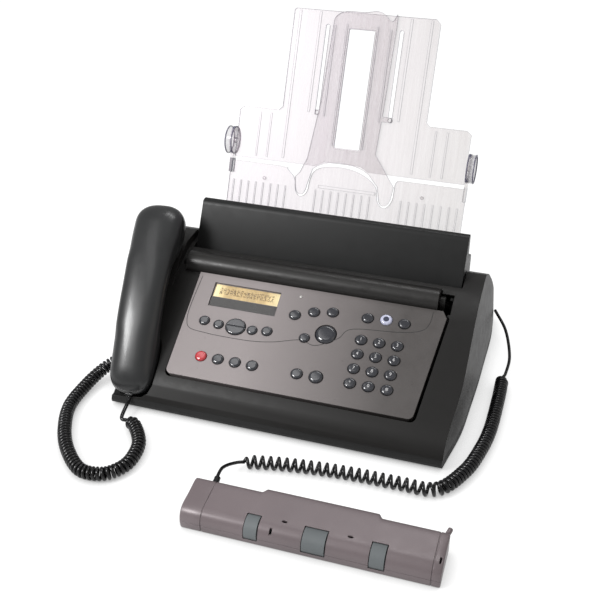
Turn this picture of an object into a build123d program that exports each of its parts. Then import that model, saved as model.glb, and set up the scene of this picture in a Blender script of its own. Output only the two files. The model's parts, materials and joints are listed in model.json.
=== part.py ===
"""Desktop fax machine with a corded handset, a leaning paper tray and a hand scanner.

Millimetres. The machine stands on the table at z = 0 with its front towards -Y, the handset
on its left (-X) and the scanner lying on the table in front of it. Sizes are given in machine
coordinates: x to the right from the middle of the machine's front edge, y to the back from
that edge, z up from the table. Each helper plane shifts them to the frame's origin, which is
the middle of the whole object's footprint.
"""
from build123d import *
import os
from math import sin, cos, radians, sqrt

os.makedirs("parts", exist_ok=True)

# ---------------------------------------------------------------- shared dimensions
FRAME_X, FRAME_Y = 0.1, 94.35   # middle of the footprint, in machine coordinates

WALL = 2.5              # casing wall
FOOT_H, FOOT_R = 3.0, 8.0
FLOOR_Z = FOOT_H + WALL # upper face of the base's floor
SPLIT_Z = 14.0          # parting line between base and top case
SEAM = 0.3              # open seam at the parting line
PIN_PLAY = 0.05         # radial play of pins and shafts in their bores

# plan outline of the machine at table level: y, half width
PLAN = [(2.0, 178.0), (29.0, 183.0), (61.0, 188.0), (97.0, 190.0),
        (143.0, 192.0), (200.0, 193.0), (262.0, 192.5), (292.0, 188.0)]
PLAN_TAPER = 9.5        # how far the sides lean in over 100 mm of height
PLAN_TOP = 130.0
# side profile of the machine: y, z
PROFILE = [(292.0, 3.0), (2.0, 3.0), (0.0, 8.0), (4.0, 19.0), (12.5, 30.5), (23.8, 38.9),
           (125.4, 96.9), (140.0, 103.6), (160.0, 109.6), (180.0, 112.4), (197.0, 113.0),
           (214.0, 105.0), (236.0, 86.0), (273.0, 50.0), (290.0, 28.0)]

# control panel: a plane sloping up to the back from (PANEL_Y, PANEL_Z)
TILT = 29.73
PANEL_Y, PANEL_Z = 23.8, 38.9
PANEL_TOP = 124.0       # slope length of the flat panel
PANEL_LEFT, PANEL_RIGHT, PANEL_RIGHT_TOP = -122.4, 140.8, 152.8
PANEL_SKIN = 2.2
PANEL_DEPTH = 11.0
PANEL_GAP, PANEL_GAP_LEFT = 3.0, 0.7
WELL_DEPTH = 25.0

# hollow barrel along the panel's rear edge, which is also its hinge
BAR_AT = BAR_Y, BAR_Z = (144.5, 103.8)
BAR_R = 13.0
BAR_X1, BAR_X2 = -139.4, 141.2
BAR_GAP = 1.2           # around the barrel and at its ends
BAR_WELL_R = BAR_R + BAR_GAP
BAR_LENGTH = BAR_X2 - BAR_X1
PANEL_PIN_R = 3.0

# rear cover
HOOD_X1, HOOD_X2 = -143.5, 159.7
HOOD_AXIS = (227.5, 96.0)   # hinge axis: y, z
HOOD_PIN_R = 2.5

# leaning paper tray: its plane passes through this point
LEAN = 25.7
TRAY_X, TRAY_Y, TRAY_Z = 8.2, 212.9, 98.3

# rollers and spools between two bearing cheeks: y, z of each axis
PLATEN_AT, PLATEN_R = (170.5, 84.0), 8.0
FEED_AT, FEED_R = (195.5, 83.0), 8.5
SUPPLY_AT, SUPPLY_R = (196.0, 124.0), 9.0
TAKEUP_AT, TAKEUP_R = (181.0, 103.5), 8.0
SHAFT_R = 3.0
CHEEK_L, CHEEK_R = -137.5, 150.0    # left face of each cheek
CHEEK_T = 3.5

# handset: lower and upper end of its long axis
HANDSET_LOW = (-154.0, -8.0, 30.0)
HANDSET_HIGH = (-175.0, 152.0, 171.0)
HANDSET_WALL = 2.2
HANDSET_SPLIT = -9.0    # parting plane, measured out from the long axis
# stations: distance along from the middle, back, underside, width
HANDSET_STATIONS = [
    (-107.0, -10.0, -20.0, 22.0), (-103.0, -6.0, -26.0, 35.0), (-94.0, 0.0, -31.0, 44.5),
    (-74.0, 5.0, -33.5, 48.0), (-52.0, 8.5, -29.0, 48.0), (-34.0, 10.4, -17.0, 47.0),
    (0.0, 11.5, -13.5, 47.0), (34.0, 10.6, -16.0, 49.0), (54.0, 9.0, -31.0, 52.0),
    (76.0, 5.5, -37.0, 55.0), (94.0, 0.0, -35.0, 52.0), (103.0, -6.0, -29.0, 41.0),
    (107.0, -11.0, -22.0, 26.0)]
EARPIECE_U, MICROPHONE_U = 76.0, -78.0  # places along the handset
HOOK_SWITCH_AT = (70.0, -3.0)           # along the handset, across it


# ---------------------------------------------------------------- planes
def level(z):
    """Horizontal plane at a height; local axes are machine x and y."""
    return Plane(origin=(-FRAME_X, -FRAME_Y, z))


def side(x):
    """Vertical plane at x, facing right; local axes are machine y and z."""
    return Plane(origin=(x - FRAME_X, -FRAME_Y, 0), x_dir=(0, 1, 0), z_dir=(1, 0, 0))


def on_panel(height):
    """Plane parallel to the panel, above it; local axes are x and distance up the slope."""
    tilt = radians(TILT)
    return Plane(origin=(-FRAME_X, PANEL_Y - height * sin(tilt) - FRAME_Y,
                         PANEL_Z + height * cos(tilt)),
                 x_dir=(1, 0, 0), z_dir=(0, -sin(tilt), cos(tilt)))


def on_tray(height):
    """Plane parallel to the tray, in front of it; local axes are x from its middle and up it."""
    lean = radians(LEAN)
    return Plane(origin=(TRAY_X - FRAME_X, TRAY_Y - height * cos(lean) - FRAME_Y,
                         TRAY_Z + height * sin(lean)),
                 x_dir=(1, 0, 0), z_dir=(0, -cos(lean), sin(lean)))


def tray_point(distance):
    """Machine y, z of a point this far up the tray's plane."""
    lean = radians(LEAN)
    return TRAY_Y + distance * sin(lean), TRAY_Z + distance * cos(lean)


# handset directions: up along it, across it to the right, out through its back
_run = [high - low for low, high in zip(HANDSET_LOW, HANDSET_HIGH)]
_length = sqrt(sum(step * step for step in _run))
ALONG = tuple(step / _length for step in _run)
_flat = sqrt(ALONG[0] ** 2 + ALONG[1] ** 2)
ACROSS = (ALONG[1] / _flat, -ALONG[0] / _flat, 0.0)
OUT = (ACROSS[1] * ALONG[2], -ACROSS[0] * ALONG[2],
       ACROSS[0] * ALONG[1] - ACROSS[1] * ALONG[0])
HANDSET_MIDDLE = tuple((low + high) / 2 for low, high in zip(HANDSET_LOW, HANDSET_HIGH))


def handset_point(along, across, out):
    return tuple(middle + along * a + across * b + out * c - shift
                 for middle, a, b, c, shift
                 in zip(HANDSET_MIDDLE, ALONG, ACROSS, OUT, (FRAME_X, FRAME_Y, 0.0)))


def handset_station(along, out=0.0, across=0.0):
    """Plane across the handset; local axes are leftwards and out through its back."""
    return Plane(origin=handset_point(along, across, out),
                 x_dir=tuple(-c for c in ACROSS), z_dir=ALONG)


def handset_flat(out):
    """Plane parallel to the handset's length; local axes are along it and leftwards."""
    return Plane(origin=handset_point(0, 0, out), x_dir=ALONG, z_dir=OUT)


# ---------------------------------------------------------------- simple solids
def discs(plane, radius, length, *centres):
    """Round bars standing on a plane."""
    with BuildPart() as made:
        with BuildSketch(plane):
            with Locations(*centres):
                Circle(radius)
        extrude(amount=length)
    return made.part


def blocks(plane, width, depth, height, *centres):
    """Rectangular blocks standing on a plane."""
    with BuildPart() as made:
        with BuildSketch(plane):
            with Locations(*centres):
                Rectangle(width, depth)
        extrude(amount=height)
    return made.part


def prism(plane, outline, length):
    """Closed straight-sided outline, extruded from a plane."""
    with BuildPart() as made:
        with BuildSketch(plane):
            with BuildLine():
                Polyline(*outline, close=True)
            make_face()
        extrude(amount=length)
    return made.part


def cord(points, radius):
    """Round cord through machine points."""
    with BuildPart() as made:
        with BuildLine() as path:
            Spline(*[(x - FRAME_X, y - FRAME_Y, z) for x, y, z in points])
        with BuildSketch(Plane(origin=path.line @ 0, z_dir=path.line % 0)):
            Circle(radius)
        sweep(path=path.line)
    return made.part


def save(part, name):
    part.label = name
    export_step(part, f"parts/{name}.step")


# ---------------------------------------------------------------- shared forms
def body_form(inset, low, high):
    """The machine's outer form, drawn in by inset, between two heights."""
    with BuildPart() as form:
        for z in (low, high):
            lean = PLAN_TAPER * z / 100.0 + inset
            right = [(half - lean, y) for y, half in PLAN]
            right[0] = (right[0][0], right[0][1] - 2.0 + inset)
            right[-1] = (right[-1][0], right[-1][1] - inset)
            left = [(-x, y) for x, y in reversed(right)]
            with BuildSketch(level(z)):
                with BuildLine():
                    Spline(*right)
                    Line(right[-1], left[0])
                    Spline(*left)
                    Line(left[-1], right[0])
                make_face()
        loft(ruled=True)
        with BuildSketch(side(-230)):
            with BuildLine():
                Polyline(*PROFILE, close=True)
            make_face()
            if inset:
                offset(amount=-inset, kind=Kind.INTERSECTION)
        extrude(amount=460, mode=Mode.INTERSECT)
    return form.part


def handset_form(grow, left_extra=0.0):
    """The handset's bar form, grown or drawn in, and widened to the left by left_extra."""
    stretch = (HANDSET_STATIONS[-1][0] + grow) / HANDSET_STATIONS[-1][0]
    with BuildPart() as form:
        for along, back, under, width in HANDSET_STATIONS:
            top, bottom, wide = back + grow, under - grow, width + 2 * grow
            corner = min(0.42 * (top - bottom), 0.42 * wide)
            with BuildSketch(handset_station(along * stretch, (top + bottom) / 2,
                                             -left_extra / 2)):
                RectangleRounded(wide + left_extra, top - bottom, corner)
        loft(ruled=True)
    return form.part


def panel_outline(grow, grow_left):
    """Corner points of the control panel, grown outwards."""
    return [(PANEL_LEFT - grow_left, -grow), (PANEL_RIGHT + grow, -grow),
            (PANEL_RIGHT_TOP + grow, 116.0), (PANEL_RIGHT_TOP - 5.0 + grow, PANEL_TOP),
            (PANEL_LEFT - grow_left, PANEL_TOP)]


# ---------------------------------------------------------------- handset cradle
CRADLE_GAP = 2.0
CRADLE_OPEN_LEFT = 24.0     # the cradle is cut this much wider on its left
# raised rest under the earpiece, at the left rear: y, z
REST_OUTLINE = [(96.0, 60.0), (112.0, 90.0), (128.0, 104.0), (146.0, 116.0), (160.0, 120.5),
                (188.0, 120.5), (200.0, 116.0), (210.0, 104.0), (212.0, 60.0)]
REST_X1, REST_X2 = -186.0, -149.0

cradle_cut = handset_form(CRADLE_GAP, CRADLE_OPEN_LEFT)
cradle_skin = handset_form(CRADLE_GAP + WALL, CRADLE_OPEN_LEFT)

# ---------------------------------------------------------------- top case
OPENING_Y1, OPENING_Y2 = 166.0, 243.0   # film and paper compartment
OPENING_EXTRA = 3.0                     # wider than the rear cover
HINGE_EAR_R, HINGE_EAR_T, HINGE_EAR_DROP = 5.4, 5.0, 20.0
CORD_JACK_AT, CORD_JACK_SIZE = (52.0, 22.0), (13.0, 8.0)
CORD_OUTLET_AT, CORD_OUTLET_R = (268.0, 26.0), 4.2

# walls around the panel well, left standing when the case is hollowed
with BuildPart() as well_skin:
    with BuildSketch(on_panel(-WELL_DEPTH - WALL)):
        Polygon(*panel_outline(PANEL_GAP + WALL, PANEL_GAP_LEFT + WALL), align=None)
    extrude(amount=WELL_DEPTH + WALL + 10)
    add(discs(side(BAR_X1 - BAR_GAP - WALL), BAR_WELL_R + WALL,
              BAR_LENGTH + 2 * BAR_GAP + 2 * WALL, BAR_AT))

with BuildPart() as panel_well:
    with BuildSketch(on_panel(-WELL_DEPTH)) as well_face:
        Polygon(*panel_outline(PANEL_GAP, PANEL_GAP_LEFT), align=None)
        fillet(well_face.vertices().group_by(Axis.Y)[0], 6.5)
    extrude(amount=WELL_DEPTH + 40)
    # trough for the barrel, open upwards
    with BuildSketch(side(BAR_X1 - BAR_GAP)):
        with Locations(BAR_AT):
            Circle(BAR_WELL_R)
        with Locations((BAR_Y, BAR_Z + 20)):
            Rectangle(2 * BAR_WELL_R, 40)
    extrude(amount=BAR_LENGTH + 2 * BAR_GAP)
    # notches at the two rear corners
    with BuildSketch(on_panel(-9.0)):
        with Locations((148.5, 134.0)):
            Rectangle(14.0, 26.0)
        with Locations((-134.0, 128.0)):
            Rectangle(10.0, 9.0)
    extrude(amount=60)

# hollow of the case
with BuildPart() as core:
    add(body_form(WALL, SPLIT_Z - 1.0, PLAN_TOP + 1.0))
    add(well_skin.part, mode=Mode.SUBTRACT)
    add(cradle_skin, mode=Mode.SUBTRACT)

with BuildPart() as top_case:
    add(body_form(0.0, SPLIT_Z, PLAN_TOP))
    add(prism(side(REST_X1), REST_OUTLINE, REST_X2 - REST_X1))
    add(core.part, mode=Mode.SUBTRACT)
    add(panel_well.part, mode=Mode.SUBTRACT)
    add(cradle_cut, mode=Mode.SUBTRACT)
    add(blocks(level(70.0), HOOD_X2 - HOOD_X1 + OPENING_EXTRA, OPENING_Y2 - OPENING_Y1, 80,
               ((HOOD_X1 + HOOD_X2) / 2, (OPENING_Y1 + OPENING_Y2) / 2)), mode=Mode.SUBTRACT)
    # hinge ears for the barrel, one at each end
    for x in (BAR_X1 - BAR_GAP - HINGE_EAR_T, BAR_X2 + BAR_GAP):
        with BuildSketch(side(x)):
            with Locations(BAR_AT):
                Circle(HINGE_EAR_R)
            with Locations((BAR_Y, BAR_Z - HINGE_EAR_DROP / 2)):
                Rectangle(2 * HINGE_EAR_R, HINGE_EAR_DROP)
        extrude(amount=HINGE_EAR_T)
        add(discs(side(x), PANEL_PIN_R + PIN_PLAY, HINGE_EAR_T, BAR_AT), mode=Mode.SUBTRACT)
    # slot for the hook switch in the earpiece rest
    add(blocks(handset_flat(-70.0), 14.0, 7.0, 36, HOOK_SWITCH_AT), mode=Mode.SUBTRACT)
    # jack for the handset cord, low on the left side
    add(blocks(side(-200.0), *CORD_JACK_SIZE, 20, CORD_JACK_AT), mode=Mode.SUBTRACT)
    # outlet for the scanner cord, at the right rear
    add(discs(side(178.0), CORD_OUTLET_R, 20, CORD_OUTLET_AT), mode=Mode.SUBTRACT)
save(top_case.part, "top_case")

# ---------------------------------------------------------------- base case, feet and screws
BASE_INSET = 0.8        # the base stands back from the top case
# right half of the hollow inside the base: x, y
BASE_HOLLOW = [(171.0, 10.5), (179.0, 30.0), (184.0, 70.0), (186.5, 140.0),
               (187.5, 262.0), (184.0, 285.0)]
# bearing cheek, and the bracket behind it for the rear cover's hinge: y, z
CHEEK_OUTLINE = [(160.0, 5.0), (212.0, 5.0), (212.0, 84.0), (206.0, 100.0), (204.0, 130.0),
                 (189.0, 130.0), (174.6, 107.0), (173.4, 99.0), (160.0, 96.0)]
BRACKET_OUTLINE = [(211.0, 5.0), (222.5, 5.0), (222.5, 86.0), (226.5, 92.0), (223.5, 99.0),
                   (221.0, 92.0), (211.0, 60.0)]
BRACKET_R = 5.0
SCREWS_AT = [(-150.0, 240.0), (150.0, 240.0), (-150.0, 75.0), (165.0, 60.0),
             (0.0, 262.0), (0.0, 62.0)]
BOSS_R, BOSS_H, SCREW_BORE_R = 4.0, 10.4, 1.8
HEAD_RECESS_R, HEAD_RECESS_H = 3.4, 1.4
HEAD_R, HEAD_H, HEAD_GAP = 3.0, 1.3, 0.1
SCREW_R, SCREW_LENGTH = 1.5, 9.0
FEET_AT = [(-158.0, 28.0), (158.0, 28.0), (-165.0, 262.0), (165.0, 262.0)]

with BuildPart() as base_case:
    add(body_form(BASE_INSET, FOOT_H, SPLIT_Z - SEAM))
    add(prism(level(FLOOR_Z), [(-x, y) for x, y in BASE_HOLLOW] + BASE_HOLLOW[::-1], 20),
        mode=Mode.SUBTRACT)
    add(cradle_cut, mode=Mode.SUBTRACT)
    for x in (CHEEK_L, CHEEK_R):
        with BuildSketch(side(x)):
            with BuildLine():
                Polyline(*CHEEK_OUTLINE, close=True)
            make_face()
            with Locations(PLATEN_AT, FEED_AT, SUPPLY_AT, TAKEUP_AT):
                Circle(SHAFT_R + PIN_PLAY, mode=Mode.SUBTRACT)
        extrude(amount=CHEEK_T)
        with BuildSketch(side(x)):
            with BuildLine():
                Polyline(*BRACKET_OUTLINE, close=True)
            make_face()
            with Locations(HOOD_AXIS):
                Circle(BRACKET_R)
                Circle(HOOD_PIN_R + PIN_PLAY, mode=Mode.SUBTRACT)
        extrude(amount=CHEEK_T)
    # screw bosses, bored through and recessed below for the heads
    add(discs(level(FOOT_H + 1.0), BOSS_R, BOSS_H, *SCREWS_AT))
    add(discs(level(FOOT_H), SCREW_BORE_R, 20, *SCREWS_AT), mode=Mode.SUBTRACT)
    add(discs(level(FOOT_H), HEAD_RECESS_R, HEAD_RECESS_H, *SCREWS_AT), mode=Mode.SUBTRACT)
    # row of nine cooling slots in the floor
    with BuildSketch(level(FOOT_H)):
        with Locations((90.0, 230.0)):
            with GridLocations(7.0, 0, 9, 1):
                SlotOverall(30.0, 3.0, rotation=90)
    extrude(amount=5, mode=Mode.SUBTRACT)
save(base_case.part, "base_case")

save(discs(level(0), FOOT_R, FOOT_H, *FEET_AT), "feet")

with BuildPart() as screws:
    head_bottom = level(FOOT_H + HEAD_GAP)
    add(discs(head_bottom, HEAD_R, HEAD_H, *SCREWS_AT))
    add(discs(level(FOOT_H + HEAD_GAP + HEAD_H), SCREW_R, SCREW_LENGTH, *SCREWS_AT))
    # cross slots in the heads
    with BuildSketch(head_bottom):
        with Locations(*SCREWS_AT):
            Rectangle(3.6, 0.8)
            Rectangle(0.8, 3.6)
    extrude(amount=0.7, mode=Mode.SUBTRACT)
save(screws.part, "screws")

# ---------------------------------------------------------------- inside the base
BOARD_T = 1.6           # thickness of both circuit boards
BOARD_Z = 9.0
# components on the main board: x, y, width, depth, height
COMPONENTS = [(-70.0, 115.0, 22.0, 22.0, 2.6), (-20.0, 125.0, 26.0, 14.0, 2.6),
              (30.0, 110.0, 18.0, 18.0, 2.6), (85.0, 130.0, 14.0, 28.0, 9.0),
              (60.0, 140.0, 10.0, 10.0, 12.0)]
CANS_AT, CAN_R, CAN_H = [(100.0, 100.0), (112.0, 100.0)], 5.0, 16.0
STANDOFFS_AT = [(-98.0, 92.0), (118.0, 92.0), (-98.0, 148.0), (118.0, 148.0)]
STANDOFF_R = 3.0
MOTOR_AT, MOTOR_R, MOTOR_LENGTH = (185.0, 60.0), 17.5, 18.0
MOTOR_X, MOTOR_PLATE_T = 158.0, 4.0
# print head beam under the platen: y, z
PRINT_HEAD_OUTLINE = [(163.0, 62.0), (180.0, 62.0), (180.0, 66.0), (178.0, 74.6),
                      (165.0, 74.6), (163.0, 70.0)]

with BuildPart() as main_circuit_board:
    add(blocks(level(BOARD_Z), 230.0, 70.0, BOARD_T, (10.0, 120.0)))
    board_top = level(BOARD_Z + BOARD_T)
    for x, y, width, depth, height in COMPONENTS:
        add(blocks(board_top, width, depth, height, (x, y)))
    add(discs(board_top, CAN_R, CAN_H, *CANS_AT))
    # standoffs down to the floor
    add(discs(level(FLOOR_Z), STANDOFF_R, BOARD_Z - FLOOR_Z, *STANDOFFS_AT))
save(main_circuit_board.part, "main_circuit_board")

with BuildPart() as drive_motor:
    add(discs(side(MOTOR_X), MOTOR_R, MOTOR_LENGTH, MOTOR_AT))
    add(blocks(side(MOTOR_X - MOTOR_PLATE_T), 46.0, 36.0, MOTOR_PLATE_T, MOTOR_AT))
save(drive_motor.part, "drive_motor")

with BuildPart() as print_head:
    add(prism(side(-118.0), PRINT_HEAD_OUTLINE, 252.0))
    # two posts from the floor up into the beam
    for x in (-100.0, 108.0):
        add(blocks(level(FLOOR_Z), 12.0, 14.0, 58.0, (x, 171.0)))
save(print_head.part, "print_head")

# ---------------------------------------------------------------- rollers and spools
SHAFT_END = 2.8         # how far a shaft stands out of each cheek
COLLAR_T = 2.0          # collars at the shaft's ends
COLLAR_R = SHAFT_R + 1.5
SHAFT_X1 = CHEEK_L - SHAFT_END
SHAFT_X2 = CHEEK_R + CHEEK_T + SHAFT_END
BARREL_X1, BARREL_X2 = -122.0, 138.0
FLANGE_T = 1.5
TYRE_X, TYRE_W = (-70.0, -2.0, 66.0), 22.0


def roller(at, barrel_radius=None, rings=()):
    """Shaft with end collars, an optional barrel, and rings given as x, radius, width."""
    with BuildPart() as made:
        if barrel_radius:
            add(discs(side(BARREL_X1), barrel_radius, BARREL_X2 - BARREL_X1, at))
        add(discs(side(SHAFT_X1), SHAFT_R, SHAFT_X2 - SHAFT_X1, at))
        for x in (SHAFT_X1, SHAFT_X2 - COLLAR_T):
            add(discs(side(x), COLLAR_R, COLLAR_T, at))
        for x, radius, width in rings:
            add(discs(side(x), radius, width, at))
    return made.part


def flanges(radius):
    """Flange rings at both ends of a spool's barrel."""
    return [(x, radius, FLANGE_T) for x in (BARREL_X1, BARREL_X2 - FLANGE_T)]


save(roller(PLATEN_AT, PLATEN_R), "platen_roller")
save(roller(TAKEUP_AT, TAKEUP_R - 2.0, flanges(TAKEUP_R)), "film_takeup_spool")
save(roller(SUPPLY_AT, SUPPLY_R - 1.0, flanges(SUPPLY_R)), "film_supply_spool")
save(roller(FEED_AT, rings=[(x, FEED_R, TYRE_W) for x in TYRE_X]), "feed_roller")

# ---------------------------------------------------------------- control panel
# number pad: middle, pitch across and up the slope, half sizes of a key
PAD_X, PAD_S = 90.8, 50.65
PAD_PITCH_X, PAD_PITCH_S = 19.13, 16.54
PAD_KEY_RX, PAD_KEY_RS = 6.3, 5.7
PAD_NAMES = (("key_1", "key_2", "key_3"), ("key_4", "key_5", "key_6"),
             ("key_7", "key_8", "key_9"), ("key_star", "key_0", "key_hash"))
# keys: name, x, place up the slope, half width, half height
KEYS = [(name, PAD_X + (column - 1) * PAD_PITCH_X, PAD_S + (1.5 - row) * PAD_PITCH_S,
         PAD_KEY_RX, PAD_KEY_RS)
        for row, names in enumerate(PAD_NAMES) for column, name in enumerate(names)]
KEYS += [
    ("function_key_1", -99.3, 66.6, 5.9, 5.4), ("function_key_2", -82.6, 64.8, 5.6, 5.2),
    ("function_key_3", -44.6, 64.8, 5.6, 5.2), ("function_key_4", -28.6, 66.6, 5.9, 5.4),
    ("stop_key", -89.9, 25.2, 6.3, 5.8), ("memory_key_1", -70.9, 25.2, 6.3, 5.8),
    ("memory_key_2", -51.9, 25.2, 6.3, 5.8), ("memory_key_3", -32.9, 25.2, 6.3, 5.8),
    ("option_key_1", -4.2, 91.0, 6.3, 5.6), ("option_key_2", 15.2, 98.0, 6.3, 5.6),
    ("option_key_3", 35.0, 101.4, 6.3, 5.6), ("help_key", 12.8, 66.6, 5.6, 5.2),
    ("start_key", 33.9, 75.0, 11.4, 10.8), ("speaker_key", 15.6, 25.4, 6.3, 5.8),
    ("redial_key", 36.0, 25.8, 7.4, 6.9), ("line_key_1", 72.8, 101.5, 6.3, 5.6),
    ("message_key", 92.2, 103.0, 6.5, 6.0), ("line_key_2", 111.6, 101.8, 6.3, 5.6)]
KEY_GAP = 0.35          # between a key and its hole
KEY_TOP, KEY_FOOT = 2.7, -6.8
KEY_ROUNDING = 0.42     # of the smaller half size
KEY_FLANGE_Z, KEY_FLANGE_T, KEY_FLANGE_OUT = -4.6, 1.2, 0.9
ROCKER_AT, ROCKER_RX, ROCKER_RS = (-63.4, 65.4), 11.0, 9.4
ROCKER_GAP = KEY_GAP + 0.2
ROCKER_TOP, ROCKER_FOOT = 2.4, -5.4

PANEL_RIM = 2.0         # side walls of the hollow panel
BAR_PIN_LENGTH, BAR_PIN_SINK = 5.4, 0.2

# display: recess, and the height up the slope where its opening starts
DISPLAY_X1, DISPLAY_X2, DISPLAY_S1, DISPLAY_S2 = -101.6, -25.65, 85.3, 114.4
DISPLAY_X = (DISPLAY_X1 + DISPLAY_X2) / 2
DISPLAY_AT = (DISPLAY_X, (DISPLAY_S1 + DISPLAY_S2) / 2)
DISPLAY_W, DISPLAY_H = DISPLAY_X2 - DISPLAY_X1, DISPLAY_S2 - DISPLAY_S1
VIEW_S1, VIEW_S2 = 98.0, DISPLAY_S2 - 0.8
WINDOW_PLAY = 0.5

with BuildPart() as control_panel:
    with BuildSketch(on_panel(-PANEL_DEPTH)) as flat:
        Polygon(*panel_outline(0.0, 0.0), align=None)
        fillet(flat.vertices().group_by(Axis.Y)[0], 6.0)
    extrude(amount=PANEL_DEPTH + 0.3)
    # hollow underneath
    with BuildSketch(on_panel(-PANEL_DEPTH)):
        Polygon(*panel_outline(-PANEL_RIM, -PANEL_RIM)[:2],
                (PANEL_RIGHT_TOP - 3.0, PANEL_TOP - 4.0),
                (PANEL_LEFT + PANEL_RIM, PANEL_TOP - 4.0), align=None)
    extrude(amount=PANEL_DEPTH - PANEL_SKIN, mode=Mode.SUBTRACT)
    # rear barrel with a hinge pin at each end
    add(discs(side(BAR_X1), BAR_R, BAR_LENGTH, BAR_AT))
    add(discs(side(BAR_X1 + 2.0), BAR_R - 2.4, BAR_LENGTH - 4.0, BAR_AT), mode=Mode.SUBTRACT)
    for x in (BAR_X1 + BAR_PIN_SINK - BAR_PIN_LENGTH, BAR_X2 - BAR_PIN_SINK):
        add(discs(side(x), PANEL_PIN_R, BAR_PIN_LENGTH, BAR_AT))
    # holes for the keys and the rocker
    holes = [((x, s), rx + KEY_GAP, rs + KEY_GAP) for _, x, s, rx, rs in KEYS]
    holes.append((ROCKER_AT, ROCKER_RX + ROCKER_GAP, ROCKER_RS + ROCKER_GAP))
    for at, rx, rs in holes:
        with BuildSketch(on_panel(-PANEL_SKIN - 0.5)):
            with Locations(at):
                Ellipse(rx, rs)
        extrude(amount=PANEL_SKIN + 2, mode=Mode.SUBTRACT)
    # display recess and opening
    add(blocks(on_panel(-1.5), DISPLAY_W, DISPLAY_H, 4, DISPLAY_AT), mode=Mode.SUBTRACT)
    add(blocks(on_panel(-4.0), DISPLAY_W - 2.0, VIEW_S2 - VIEW_S1, 6,
               (DISPLAY_X, (VIEW_S1 + VIEW_S2) / 2)), mode=Mode.SUBTRACT)
save(control_panel.part, "control_panel")

save(blocks(on_panel(-1.4), DISPLAY_W - WINDOW_PLAY, DISPLAY_H - WINDOW_PLAY, 1.0, DISPLAY_AT),
     "display_window")
save(blocks(on_panel(-7.8), 82.0, 24.0, 5.4, (DISPLAY_X, 106.0)), "lcd_module")
save(blocks(on_panel(-9.6), 250.0, 108.0, BOARD_T, (8.0, 60.0)), "panel_circuit_board")

PANEL_UP = Axis((0, 0, 0), on_panel(0).z_dir)

for key_name, x, s, rx, rs in KEYS:
    with BuildPart() as key:
        with BuildSketch(on_panel(KEY_FOOT)):
            with Locations((x, s)):
                Ellipse(rx, rs)
        extrude(amount=KEY_TOP - KEY_FOOT)
        fillet(key.faces().sort_by(PANEL_UP)[-1].edges(), min(rx, rs) * KEY_ROUNDING)
        # retaining flange below the panel's skin
        with BuildSketch(on_panel(KEY_FLANGE_Z)):
            with Locations((x, s)):
                Ellipse(rx + KEY_FLANGE_OUT, rs + KEY_FLANGE_OUT)
        extrude(amount=KEY_FLANGE_T)
    save(key.part, key_name)

with BuildPart() as navigation_rocker:
    with BuildSketch(on_panel(ROCKER_FOOT)):
        with Locations(ROCKER_AT):
            Ellipse(ROCKER_RX, ROCKER_RS)
    extrude(amount=ROCKER_TOP - ROCKER_FOOT)
    fillet(navigation_rocker.faces().sort_by(PANEL_UP)[-1].edges(), 1.6)
    # groove across the top
    add(blocks(on_panel(1.0), 30, 1.4, 4, ROCKER_AT), mode=Mode.SUBTRACT)
save(navigation_rocker.part, "navigation_rocker")

# ---------------------------------------------------------------- rear cover
SHEET = 2.4             # thickness of the paper tray and the document support
TRAY_HALF = 137.4       # half width of the paper tray
# outer form, hollow, and a rib inside the front wall: y, z
HOOD_OUTLINE = [(167.0, 103.5), (195.5, 150.5), (197.0, 153.6), (200.0, 155.0),
                (205.0, 154.6), (207.5, 151.0), (208.5, 124.5), (228.0, 118.5),
                (234.5, 114.0), (236.0, 108.0), (236.0, 89.0), (166.5, 101.0)]
HOOD_HOLLOW = [(170.6, 95.0), (170.6, 104.4), (198.2, 150.0), (200.0, 152.3), (204.2, 151.9),
               (205.0, 150.0), (206.0, 122.0), (209.0, 114.0), (227.0, 110.5), (233.5, 106.0),
               (233.5, 80.0)]
HOOD_RIB = [(168.5, 103.8), (175.0, 109.0), (199.5, 149.0), (199.0, 153.0), (196.0, 149.5)]
HOOD_RIB_X, HOOD_RIB_T = (-90.0, -40.0, 8.0, 56.0, 106.0), 1.6
HOOD_PIN_SINK = 0.2     # root of a pin inside the cover's end wall
# hinge pins, from the end walls to the cheeks' inner faces: x from, x to
HOOD_PINS = [(HOOD_X1 + WALL - HOOD_PIN_SINK, CHEEK_L + CHEEK_T),
             (CHEEK_R, HOOD_X2 - WALL + HOOD_PIN_SINK)]

with BuildPart() as back_cover:
    add(prism(side(HOOD_X1), HOOD_OUTLINE, HOOD_X2 - HOOD_X1))
    add(prism(side(HOOD_X1 + WALL), HOOD_HOLLOW, HOOD_X2 - HOOD_X1 - 2 * WALL),
        mode=Mode.SUBTRACT)
    # slot that the paper tray drops into
    add(blocks(on_tray(-2.2), 2 * TRAY_HALF + 1.0, 90.0, 5.4, (0.0, 15.0)),
        mode=Mode.SUBTRACT)
    for x in HOOD_RIB_X:
        add(prism(side(x), HOOD_RIB, HOOD_RIB_T))
    for x1, x2 in HOOD_PINS:
        add(discs(side(x1), HOOD_PIN_R, x2 - x1, HOOD_AXIS))
save(back_cover.part, "back_cover")

# ---------------------------------------------------------------- clear paper tray
TRAY_BOTTOM, TRAY_TOP = -14.0, 94.0
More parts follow.
